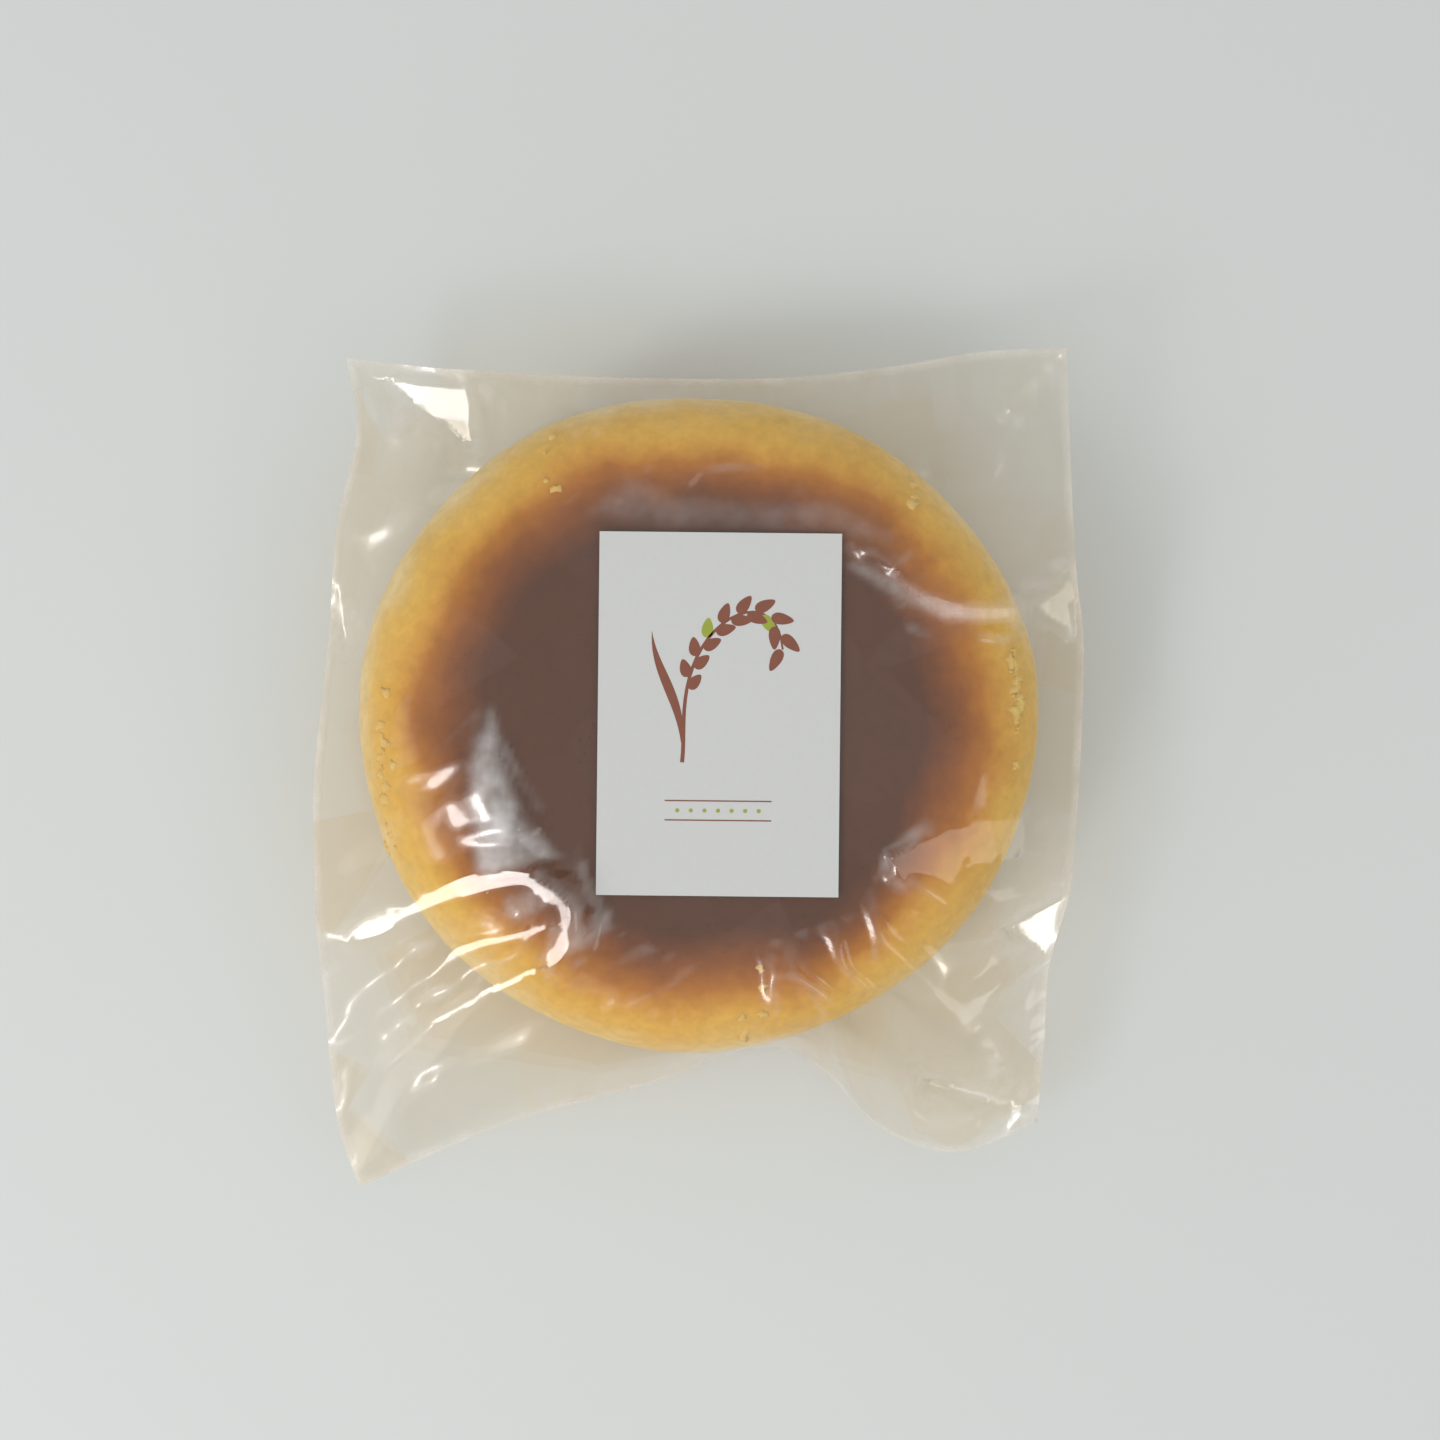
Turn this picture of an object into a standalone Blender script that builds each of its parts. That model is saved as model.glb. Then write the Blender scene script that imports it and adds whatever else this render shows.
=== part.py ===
"""A round sponge cake shut in a clear film bag, with a plain paper label on top.

The bag is one closed solid: the film's outer form over the cake that it holds. Its top is the film
that lies on the cake and runs down to the bag's edge, and its underside runs from the cake's base up
to the same edge. Metres, +Z up, the origin on the underside below the middle of the cake, and +Y
towards the bag's closed end.
"""

import math

import bmesh
import bpy
from mathutils import Matrix, Vector

MM = 0.001

# The cake under the film, an upright round with a wide soft shoulder
CAKE_HALF_WIDTH = 72.2 * MM
CAKE_HALF_DEPTH = 69.6 * MM
CAKE_HEIGHT = 41.6 * MM
SHOULDER_RADIUS = 17.0 * MM
BASE_INSET = 3.0 * MM
BASE_ROUNDING = 5.0 * MM

# The cake's slight bake-made waver: waves to a turn, height and start angle
WAVERS = ((3, 0.5 * MM, 0.7), (7, 0.3 * MM, 0.0))

# The film
FILM_GAP = 0.4 * MM
EDGE_THICKNESS = 0.8 * MM

# The film is flat under the label and for this far round it, and the folds then grow over an onset
FLAT_MARGIN = 5.0 * MM
FOLD_ONSET = 8.0 * MM

# The label, laid flat on the film over the cake's top
LABEL_WIDTH = 50.0 * MM
LABEL_LENGTH = 75.0 * MM
LABEL_THICKNESS = 0.4 * MM
LABEL_CENTRE = (4.6 * MM, 1.7 * MM)
LABEL_TURN = math.radians(-0.6)
LABEL_GAP = 0.3 * MM

# How finely the bag is divided
POINTS_PER_SIDE = 40
PLATEAU_RINGS = 12
SHOULDER_RINGS = 5
UPPER_SPAN_RINGS = 8
LOWER_SPAN_RINGS = 5
BASE_RINGS = 2

# The bag's edge in millimetres, x, y and height, side by side from the front right corner round to
# it again. The last point of each side is a corner of the bag.
FRONT_RIGHT_CORNER = (73.3, -86.1, 16.0)
RIGHT_SIDE = (
    (74.5, -69.1, 18.0),
    (75.0, -52.4, 22.5),
    (78.6, -36.7, 28.0),
    (80.2, -27.1, 24.0),
    (81.7, -10.1, 22.0),
    (82.4, 15.5, 23.0),
    (80.1, 28.9, 31.0),
    (79.9, 40.8, 26.0),
    (79.5, 54.6, 24.0),
    (78.6, 79.8, 24.0),
)
BACK_SIDE = (
    (60.2, 79.0, 23.0),
    (42.7, 76.4, 20.0),
    (17.3, 73.2, 25.0),
    (-12.5, 73.7, 21.0),
    (-35.6, 74.1, 25.0),
    (-47.0, 74.2, 30.5),
    (-57.6, 75.2, 27.5),
    (-74.9, 77.7, 23.0),
)
LEFT_SIDE = (
    (-72.7, 62.5, 22.0),
    (-76.8, 41.1, 24.0),
    (-79.3, 17.6, 18.8),
    (-81.9, -12.3, 22.0),
    (-81.2, -33.7, 25.5),
    (-80.0, -44.2, 31.2),
    (-79.3, -57.6, 25.0),
    (-78.9, -72.7, 19.0),
    (-77.6, -87.8, 14.0),
    (-73.8, -101.2, 10.0),
)
FRONT_SIDE = (
    (-41.9, -86.8, 15.0),
    (-11.5, -78.7, 12.0),
    (10.5, -71.7, 9.0),
    (20.1, -72.0, 8.0),
    (28.7, -76.9, 11.0),
    (37.3, -86.0, 14.0),
    (48.1, -91.7, 14.0),
    (58.9, -92.5, 14.0),
    FRONT_RIGHT_CORNER,
)
SIDES = (RIGHT_SIDE, BACK_SIDE, LEFT_SIDE, FRONT_SIDE)

# The film's main folds in millimetres: the end on the cake, the end by the bag's edge, the ridge's
# height (below zero for a valley) and its half width
FOLDS = (
    ((-18.0, -33.0), (-50.0, -35.0), 6.5, 8.0),
    ((-26.0, -28.0), (-33.0, -56.0), 3.5, 6.0),
    ((-34.0, -38.0), (-77.0, -46.0), 5.0, 10.0),
    ((-34.0, -44.0), (-76.0, -74.0), 5.0, 11.0),
    ((-34.0, -54.0), (-66.0, -92.0), 4.0, 10.0),
    ((44.0, -30.0), (82.0, -33.0), 5.0, 8.0),
    ((62.0, -38.0), (80.0, -46.0), -2.0, 8.0),
    ((42.0, 34.0), (82.0, 27.0), 5.0, 8.0),
    ((-22.0, 56.0), (-38.0, 76.0), 4.0, 8.0),
    ((-50.0, 42.0), (-80.0, 37.0), 5.0, 8.0),
    ((42.0, 44.0), (78.0, 80.0), 4.0, 9.0),
    ((-44.0, 46.0), (-74.0, 77.0), 4.0, 9.0),
    ((42.0, -48.0), (72.0, -84.0), 4.0, 9.0),
)

FILM_COLOUR = (0.78, 0.72, 0.60)
PAPER_COLOUR = (0.80, 0.80, 0.79)


def clear_scene():
    """Removes whatever the opened file holds."""
    for found in list(bpy.data.objects):
        bpy.data.objects.remove(found, do_unlink=True)


def material(name, colour, roughness, metallic=0.0, alpha=1.0):
    """A plain Principled material."""
    made = bpy.data.materials.new(name)
    made.use_nodes = True
    shader = made.node_tree.nodes["Principled BSDF"]
    shader.inputs["Base Color"].default_value = (*colour, 1.0)
    shader.inputs["Roughness"].default_value = roughness
    shader.inputs["Metallic"].default_value = metallic
    shader.inputs["Alpha"].default_value = alpha
    return made


def smooth_side(start, points, count):
    """A side of the bag's edge as count points on a smooth curve from start through points."""
    knots = [Vector(start), *(Vector(point) for point in points)]
    ends = [knots[0] * 2 - knots[1], *knots, knots[-1] * 2 - knots[-2]]
    spans = len(knots) - 1
    side = []
    for step in range(1, count + 1):
        place = step / count * spans
        span = min(int(place), spans - 1)
        t = place - span
        before, first, second, after = ends[span : span + 4]
        side.append(
            0.5
            * (
                2 * first
                + (second - before) * t
                + (2 * before - 5 * first + 4 * second - after) * t**2
                + (3 * first - before - 3 * second + after) * t**3
            )
        )
    return side


def bag_edge():
    """The bag's edge all the way round, with a point on each of its four corners."""
    edge = []
    start = FRONT_RIGHT_CORNER
    for points in SIDES:
        edge.extend(smooth_side(start, points, POINTS_PER_SIDE))
        start = points[-1]
    return [point * MM for point in edge]


def cake_radius(angle):
    """The cake's half width in this direction, an ellipse with a slight waver."""
    across = CAKE_HALF_WIDTH * math.sin(angle)
    along = CAKE_HALF_DEPTH * math.cos(angle)
    waver = sum(height * math.sin(waves * angle + start) for waves, height, start in WAVERS)
    return CAKE_HALF_WIDTH * CAKE_HALF_DEPTH / math.hypot(across, along) + waver


def tangent_angle(centre, radius, point, upper):
    """Where on a round of this centre the straight film to point leaves it, as an angle."""
    reach = point - centre
    swing = math.acos(min(radius / reach.length, 1.0))
    return math.atan2(reach.y, reach.x) + (swing if upper else -swing)


def arc(centre, radius, start, end, count):
    """count points on an arc, after its start and up to its end."""
    points = []
    for step in range(1, count + 1):
        angle = start + (end - start) * step / count
        points.append(centre + Vector((math.cos(angle), math.sin(angle))) * radius)
    return points


def straight(start, end, count):
    """count points on a straight run, after its start and up to its end."""
    return [start.lerp(end, step / count) for step in range(1, count + 1)]


def upper_profile(edge_point):
    """The film over the cake in this direction: points of distance and height out to the edge."""
    angle = math.atan2(edge_point.y, edge_point.x)
    shoulder = SHOULDER_RADIUS + FILM_GAP
    centre = Vector(
        (cake_radius(angle) - SHOULDER_RADIUS, CAKE_HEIGHT - SHOULDER_RADIUS)
    )
    rim = Vector((edge_point.xy.length, edge_point.z + EDGE_THICKNESS / 2))
    top = centre + Vector((0, shoulder))
    leave = tangent_angle(centre, shoulder, rim, upper=True)
    middle = Vector((0, top.y))
    plateau = straight(middle, top, PLATEAU_RINGS)
    round_over = arc(centre, shoulder, math.pi / 2, leave, SHOULDER_RINGS)
    span = straight(round_over[-1], rim, UPPER_SPAN_RINGS)
    return plateau + round_over + span


def lower_profile(edge_point):
    """The film under the cake in this direction, from the edge in over the flat base."""
    angle = math.atan2(edge_point.y, edge_point.x)
    base = cake_radius(angle) - BASE_INSET
    centre = Vector((base - BASE_ROUNDING, BASE_ROUNDING))
    rim = Vector((edge_point.xy.length, edge_point.z - EDGE_THICKNESS / 2))
    leave = tangent_angle(centre, BASE_ROUNDING, rim, upper=False)
    foot = centre + Vector((math.cos(leave), math.sin(leave))) * BASE_ROUNDING
    span = straight(rim, foot, LOWER_SPAN_RINGS)
    flat = centre - Vector((0, BASE_ROUNDING))
    inner = straight(flat, Vector((0, 0)), BASE_RINGS + 1)
    return [rim, *span, flat, *inner[:-1]]


def freed_from_label(x, y):
    """How free the film is to fold, from 0 under the label and near it to 1 well away from it."""
    off_x = max(abs(x - LABEL_CENTRE[0]) - LABEL_WIDTH / 2, 0.0)
    off_y = max(abs(y - LABEL_CENTRE[1]) - LABEL_LENGTH / 2, 0.0)
    share = (math.hypot(off_x, off_y) - FLAT_MARGIN) / FOLD_ONSET
    share = min(max(share, 0.0), 1.0)
    return share * share * (3 - 2 * share)


def fold_height(x, y):
    """How far the film stands off its straight run at this place, from all the folds."""
    height = 0.0
    here = Vector((x, y))
    for start, end, rise, half_width in FOLDS:
        foot = Vector(start) * MM
        line = Vector(end) * MM - foot
        along = (here - foot).dot(line) / line.length_squared
        if not 0.0 < along < 1.0:
            continue
        off = (here - foot - line * along).length / (half_width * MM)
        if off < 1.0:
            height += rise * MM * (1 - off * off) ** 2 * math.sin(math.pi * along)
    return height * freed_from_label(x, y)


def cake_top(distance, angle):
    """The lowest height that the film may have over the cake, or 0 outside the cake."""
    shoulder = SHOULDER_RADIUS + FILM_GAP
    out = (distance - cake_radius(angle) + SHOULDER_RADIUS) / shoulder
    if out >= 1.0:
        return 0.0
    return CAKE_HEIGHT - SHOULDER_RADIUS + shoulder * math.sqrt(1 - max(out, 0.0) ** 2)


def folded(point, direction, angle):
    """A point of the upper film with the folds added, kept clear of the cake."""
    x, y = direction * point.x
    height = max(point.y + fold_height(x, y), cake_top(point.x, angle))
    return Vector((x, y, height))


def bag_mesh(edge):
    """The bag's closed surface: rings of points from the middle of the top to that of the base."""
    columns = []
    for edge_point in edge:
        angle = math.atan2(edge_point.y, edge_point.x)
        direction = edge_point.xy.normalized()
        *upper, rim = upper_profile(edge_point)
        column = [folded(point, direction, angle) for point in upper]
        for point in (rim, *lower_profile(edge_point)):
            column.append(Vector((*(direction * point.x), point.y)))
        columns.append(column)

    made = bmesh.new()
    rings = [[made.verts.new(column[ring]) for column in columns] for ring in range(len(columns[0]))]
    count = len(columns)
    for outer, inner in zip(rings, rings[1:]):
        for at in range(count):
            after = (at + 1) % count
            made.faces.new((outer[at], inner[at], inner[after], outer[after]))
    top = made.verts.new((0, 0, CAKE_HEIGHT + FILM_GAP))
    base = made.verts.new((0, 0, 0))
    for at in range(count):
        after = (at + 1) % count
        made.faces.new((top, rings[0][at], rings[0][after]))
        made.faces.new((base, rings[-1][after], rings[-1][at]))
    bmesh.ops.recalc_face_normals(made, faces=made.faces)
    mesh = bpy.data.meshes.new("bag")
    made.to_mesh(mesh)
    made.free()
    mesh.shade_smooth()
    return mesh


def label_mesh():
    """The label, a flat rectangle of paper."""
    made = bmesh.new()
    bmesh.ops.create_cube(made, size=1.0)
    bmesh.ops.scale(made, vec=(LABEL_WIDTH, LABEL_LENGTH, LABEL_THICKNESS), verts=made.verts)
    mesh = bpy.data.meshes.new("label")
    made.to_mesh(mesh)
    made.free()
    return mesh


def add_piece(collection, name, mesh, finish):
    """An object of this mesh in the part's collection."""
    mesh.materials.append(finish)
    piece = bpy.data.objects.new(name, mesh)
    collection.objects.link(piece)
    return piece


def main():
    """Builds the bag and its label."""
    clear_scene()
    part = bpy.data.collections.new("bagged_cake")
    bpy.context.scene.collection.children.link(part)

    film = material("film", FILM_COLOUR, 0.2, alpha=0.5)
    add_piece(part, "bag", bag_mesh(bag_edge()), film)

    paper = material("paper", PAPER_COLOUR, 0.6)
    label = add_piece(part, "label", label_mesh(), paper)
    height = CAKE_HEIGHT + FILM_GAP + LABEL_GAP + LABEL_THICKNESS / 2
    label.matrix_world = Matrix.Translation((*LABEL_CENTRE, height)) @ Matrix.Rotation(
        LABEL_TURN, 4, "Z"
    )


if __name__ == "__main__":
    main()
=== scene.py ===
"""A round rice flour sponge cake in a loose clear film bag, with a paper label on top.

The bag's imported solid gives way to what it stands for: the cake, its loose crumbs, and the two
sheets of film that are joined at the bag's edge. The film is draped from the same sizes as the
solid, folded where it is creased, and then relaxed over the cake so that it hangs as a thin stiff
sheet does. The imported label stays, and gets its paper and a printed sprig. Metres, +Z up, unless a
name ends in _mm.
"""

from __future__ import annotations

import logging
import math
from dataclasses import dataclass, field
from enum import Enum
from typing import Any, Iterable, Sequence

import bpy
import numpy as np
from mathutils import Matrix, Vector, noise


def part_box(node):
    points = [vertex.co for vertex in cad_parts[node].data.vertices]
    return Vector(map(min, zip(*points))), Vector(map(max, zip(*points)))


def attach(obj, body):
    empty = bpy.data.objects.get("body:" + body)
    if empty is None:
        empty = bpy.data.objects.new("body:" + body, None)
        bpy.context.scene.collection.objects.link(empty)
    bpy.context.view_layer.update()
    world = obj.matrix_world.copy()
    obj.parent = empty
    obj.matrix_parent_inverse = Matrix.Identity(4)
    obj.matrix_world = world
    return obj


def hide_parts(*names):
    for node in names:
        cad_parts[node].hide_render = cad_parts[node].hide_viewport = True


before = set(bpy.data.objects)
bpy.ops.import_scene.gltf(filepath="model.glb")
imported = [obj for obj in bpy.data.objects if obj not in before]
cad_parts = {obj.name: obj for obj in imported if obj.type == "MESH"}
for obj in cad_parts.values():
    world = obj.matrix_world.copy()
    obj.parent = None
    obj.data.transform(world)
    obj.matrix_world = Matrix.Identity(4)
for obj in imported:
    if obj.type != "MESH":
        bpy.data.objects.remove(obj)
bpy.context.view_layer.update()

LOG = logging.getLogger("bagged_cake")
MM = 0.001
BODY = "root"
# Point attribute of the film's pale marks: handling white, painted highlight and painted sheen
WHITENING_AND_SHEEN = "whitening_and_sheen"

Point = tuple[float, ...]
Pair = tuple[float, float]


def linear(hex_colour: str) -> tuple[float, float, float, float]:
    """Turns an sRGB colour into the linear one that shaders take.

    Args:
        hex_colour: Six hex digits, with or without a leading hash.

    Returns:
        Red, green, blue and an alpha of one.
    """
    digits = hex_colour.lstrip("#")
    channels = [int(digits[at : at + 2], 16) / 255 for at in (0, 2, 4)]
    return (*(c / 12.92 if c <= 0.04045 else ((c + 0.055) / 1.055) ** 2.4 for c in channels), 1.0)


def add_node(
    tree: bpy.types.NodeTree, kind: str, settings: dict[Any, Any] | None = None
) -> bpy.types.Node:
    """Adds one shader node.

    Args:
        tree: The node tree that the node joins.
        kind: The node's type without its leading ShaderNode, such as Math.
        settings: Attributes by name, and inputs by name or number, each with its value or with the
            socket that feeds it.

    Returns:
        The node.
    """
    node = tree.nodes.new("ShaderNode" + kind)
    for name, value in (settings or {}).items():
        if isinstance(value, bpy.types.NodeSocket):
            tree.links.new(value, node.inputs[name])
        elif isinstance(name, str) and hasattr(node, name):
            setattr(node, name, value)
        else:
            node.inputs[name].default_value = value
    return node


def set_ramp(node: bpy.types.Node, stops: Sequence[tuple[float, str]]) -> None:
    """Gives a colour ramp these stops.

    Args:
        node: The Color Ramp node.
        stops: Place from 0 to 1 and hex colour of each stop, in order.
    """
    elements = node.color_ramp.elements
    while len(elements) < len(stops):
        elements.new(1.0)
    for element, (place, colour) in zip(elements, stops):
        element.position = place
        element.color = linear(colour)


def new_material(name: str) -> tuple[bpy.types.Material, bpy.types.NodeTree]:
    """Makes an empty node material.

    Args:
        name: The material's name.

    Returns:
        The material and its cleared node tree.
    """
    material = bpy.data.materials.new(name)
    material.use_nodes = True
    material.node_tree.nodes.clear()
    return material, material.node_tree


def mesh_piece(
    name: str,
    points: np.ndarray,
    faces: Iterable[Sequence[int]],
    material: bpy.types.Material,
    replaced: str | None = None,
    smooth: bool = True,
) -> bpy.types.Object:
    """Makes a mesh piece that rides on the object's one body.

    Args:
        name: The piece's name.
        points: Its points in metres.
        faces: The point numbers of each face.
        material: What it is made of.
        replaced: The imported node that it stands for, if any.
        smooth: Whether it is shaded smooth.

    Returns:
        The new object.
    """
    mesh = bpy.data.meshes.new(name)
    mesh.from_pydata(np.asarray(points).reshape(-1, 3).tolist(), [], [list(face) for face in faces])
    mesh.validate()
    if smooth:
        mesh.shade_smooth()
    mesh.materials.append(material)
    piece = bpy.data.objects.new(name, mesh)
    bpy.context.scene.collection.objects.link(piece)
    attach(piece, BODY)
    if replaced:
        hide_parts(replaced)
    LOG.info("%s: %d points, %d faces", name, len(mesh.vertices), len(mesh.polygons))
    return piece


def eased(share: np.ndarray) -> np.ndarray:
    """Turns a straight ramp from 0 to 1 into one with soft ends."""
    held = np.clip(share, 0.0, 1.0)
    return held * held * (3 - 2 * held)


def ring_faces(rings: int, around: int) -> list[tuple[int, ...]]:
    """Lists the quads between rings of points that are stored ring by ring, from the top down.

    Args:
        rings: How many rings of points.
        around: How many points a ring has.

    Returns:
        The four point numbers of each quad.
    """
    quads = []
    for ring in range(rings - 1):
        high, low = ring * around, (ring + 1) * around
        for at in range(around):
            after = (at + 1) % around
            quads.append((low + at, low + after, high + after, high + at))
    return quads


@dataclass(frozen=True)
class SpongeSkin:
    """Baked sponge: a browned top that fades through amber to a pale yellow side.

    The egg sponge's skin is matt. Its pores are darkened in their hollows as painted shade, a fine
    mottle breaks it up close to, and the browning wanders a little from round.
    """

    half_width: float
    half_depth: float
    browning: tuple[tuple[float, str], ...] = (
        (0.00, "#57311b"), (0.63, "#5a321a"), (0.69, "#774118"), (0.74, "#945515"),
        (0.80, "#b87418"), (0.85, "#d79f38"), (0.90, "#e2b44b"), (0.94, "#e3b95d"),
        (0.97, "#e5c379"), (1.00, "#e8cf98"),
    )
    middle_mm: Pair = (0.7, -0.8)
    underside: str = "#9a6428"
    pore_mm: float = 1.7
    pore_relief: float = 0.5
    wander_mm: float = 26.0
    wander_share: float = 0.2
    crumb_mm: float = 2.6

    def build(self) -> bpy.types.Material:
        """Builds the sponge skin.

        Returns:
            The skin as a node material.
        """
        material, tree = new_material("baked_sponge_skin")
        place = add_node(tree, "TexCoord").outputs["Object"]
        axes = add_node(tree, "SeparateXYZ", {0: place})
        scaled = [
            add_node(
                tree, "Math",
                {
                    "operation": "MULTIPLY_ADD", 0: axes.outputs[axis], 1: 1 / half,
                    2: -middle * MM / half,
                },
            ).outputs[0]
            for axis, half, middle in zip("XY", (self.half_width, self.half_depth), self.middle_mm)
        ]
        flat = add_node(tree, "CombineXYZ", {"X": scaled[0], "Y": scaled[1]})
        share = add_node(tree, "VectorMath", {"operation": "LENGTH", 0: flat.outputs[0]})
        wander = add_node(
            tree, "TexNoise",
            {"Scale": 1 / (self.wander_mm * MM), "Detail": 4.0, "Roughness": 0.6, "Vector": place},
        )
        drift = add_node(
            tree, "Math",
            {
                "operation": "MULTIPLY_ADD", 0: wander.outputs["Fac"], 1: self.wander_share,
                2: -self.wander_share / 2,
            },
        )
        browned = add_node(
            tree, "Math", {"operation": "ADD", 0: share.outputs["Value"], 1: drift.outputs[0]}
        )
        ramp = add_node(tree, "ValToRGB", {0: browned.outputs[0]})
        set_ramp(ramp, self.browning)

        pores = add_node(
            tree, "TexVoronoi",
            {"Scale": 1 / (self.pore_mm * MM), "Randomness": 1.0, "Vector": place},
        )
        # Each pore is a small hollow in the relief, darkened as painted shade on the browned top
        pore_hollow_and_shade = add_node(
            tree, "MapRange",
            {
                "From Min": 0.04, "From Max": 0.26, "To Min": 0.68, "To Max": 1.0,
                "Value": pores.outputs["Distance"],
            },
        )
        crumb = add_node(
            tree, "TexNoise",
            {"Scale": 1 / (self.crumb_mm * MM), "Detail": 5.0, "Roughness": 0.65, "Vector": place},
        )
        mottle = add_node(
            tree, "MapRange",
            {
                "From Min": 0.3, "From Max": 0.7, "To Min": 0.91, "To Max": 1.09,
                "Value": crumb.outputs["Fac"],
            },
        )
        brown = add_node(
            tree, "MapRange",
            {
                "From Min": 0.66, "From Max": 0.8, "To Min": 1.0, "To Max": 0.1,
                "Value": browned.outputs[0],
            },
        )
        shaded_pores_on_brown = add_node(
            tree, "Mix",
            {
                "data_type": "FLOAT", "A": 1.0, "Factor": brown.outputs["Result"],
                "B": pore_hollow_and_shade.outputs["Result"],
            },
        )
        tone = add_node(
            tree, "Math",
            {"operation": "MULTIPLY", 0: shaded_pores_on_brown.outputs["Result"], 1: mottle.outputs["Result"]},
        )
        toned = add_node(
            tree, "VectorMath",
            {"operation": "SCALE", "Scale": tone.outputs[0], 0: ramp.outputs["Color"]},
        )
        foot = add_node(
            tree, "MapRange",
            {
                "From Min": 1.0 * MM, "From Max": 9.0 * MM, "To Min": 1.0, "To Max": 0.0,
                "Value": axes.outputs["Z"],
            },
        )
        colour = add_node(
            tree, "Mix",
            {
                "data_type": "RGBA", "B": linear(self.underside), "Factor": foot.outputs["Result"],
                "A": toned.outputs[0],
            },
        )
        relief = add_node(
            tree, "Math",
            {
                "operation": "MULTIPLY_ADD", 0: pore_hollow_and_shade.outputs["Result"], 1: self.pore_relief,
                2: crumb.outputs["Fac"],
            },
        )
        bump = add_node(
            tree, "Bump", {"Strength": 0.5, "Distance": 0.5 * MM, "Height": relief.outputs[0]}
        )
        shader = add_node(
            tree, "BsdfPrincipled",
            {
                "Roughness": 0.78, "IOR": 1.4, "Specular IOR Level": 0.3,
                "Base Color": colour.outputs["Result"], "Normal": bump.outputs["Normal"],
            },
        )
        add_node(tree, "OutputMaterial", {"Surface": shader.outputs[0]})
        return material


@dataclass(frozen=True)
class MottledFinish:
    """A finish that wavers between two near shades, with a fine relief of the same grain."""

    name: str
    dark: str
    light: str
    grain_mm: float
    detail: float = 2.0
    harshness: float = 0.5
    relief: float = 0.0
    relief_mm: float = 0.1
    roughness: float = 0.5
    ior: float = 1.5
    specular: float = 0.3

    def build(self) -> bpy.types.Material:
        """Builds the finish.

        Returns:
            The finish as a node material.
        """
        material, tree = new_material(self.name)
        place = add_node(tree, "TexCoord").outputs["Object"]
        grain = add_node(
            tree, "TexNoise",
            {
                "Scale": 1 / (self.grain_mm * MM), "Detail": self.detail,
                "Roughness": self.harshness, "Vector": place,
            },
        ).outputs["Fac"]
        colour = add_node(
            tree, "Mix",
            {"data_type": "RGBA", "A": linear(self.dark), "B": linear(self.light), "Factor": grain},
        )
        shader = add_node(
            tree, "BsdfPrincipled",
            {
                "Base Color": colour.outputs["Result"], "Roughness": self.roughness,
                "IOR": self.ior, "Specular IOR Level": self.specular,
            },
        )
        if self.relief:
            bump = add_node(
                tree, "Bump",
                {"Strength": self.relief, "Distance": self.relief_mm * MM, "Height": grain},
            )
            tree.links.new(bump.outputs["Normal"], shader.inputs["Normal"])
        add_node(tree, "OutputMaterial", {"Surface": shader.outputs[0]})
        return material


@dataclass(frozen=True)
class CrumbFlake(MottledFinish):
    """Loose sponge crumb: paler and rougher than the baked skin, with soft open pores."""

    name: str = "loose_sponge_crumb"
    dark: str = "#dcb45c"
    light: str = "#f0d489"
    grain_mm: float = 0.5
    detail: float = 4.0
    harshness: float = 0.6
    relief: float = 0.6
    relief_mm: float = 0.2
    roughness: float = 0.85
    ior: float = 1.4
    specular: float = 0.2


@dataclass(frozen=True)
class CoatedPaper(MottledFinish):
    """Clay-coated label paper: smooth, off-white and almost matt, with a faint cloudy fibre."""

    name: str = "coated_label_paper"
    dark: str = "#cfcfcc"
    light: str = "#d6d6d4"
    grain_mm: float = 0.9
    detail: float = 6.0
    harshness: float = 0.7
    relief: float = 0.12
    relief_mm: float = 0.05
    roughness: float = 0.55
    ior: float = 1.45
    specular: float = 0.35


@dataclass(frozen=True)
class OffsetInk(MottledFinish):
    """Offset ink on coated paper: flat and even, a shade uneven where it took less well."""

    grain_mm: float = 1.6
    detail: float = 3.0


@dataclass(frozen=True)
class PaintedBoard(MottledFinish):
    """A board in matt emulsion paint: pale and plain, with a broad faint cloudiness."""

    name: str = "painted_board"
    dark: str = "#d9dcda"
    light: str = "#dcdedc"
    grain_mm: float = 250.0
    roughness: float = 0.8
    specular: float = 0.2


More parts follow.
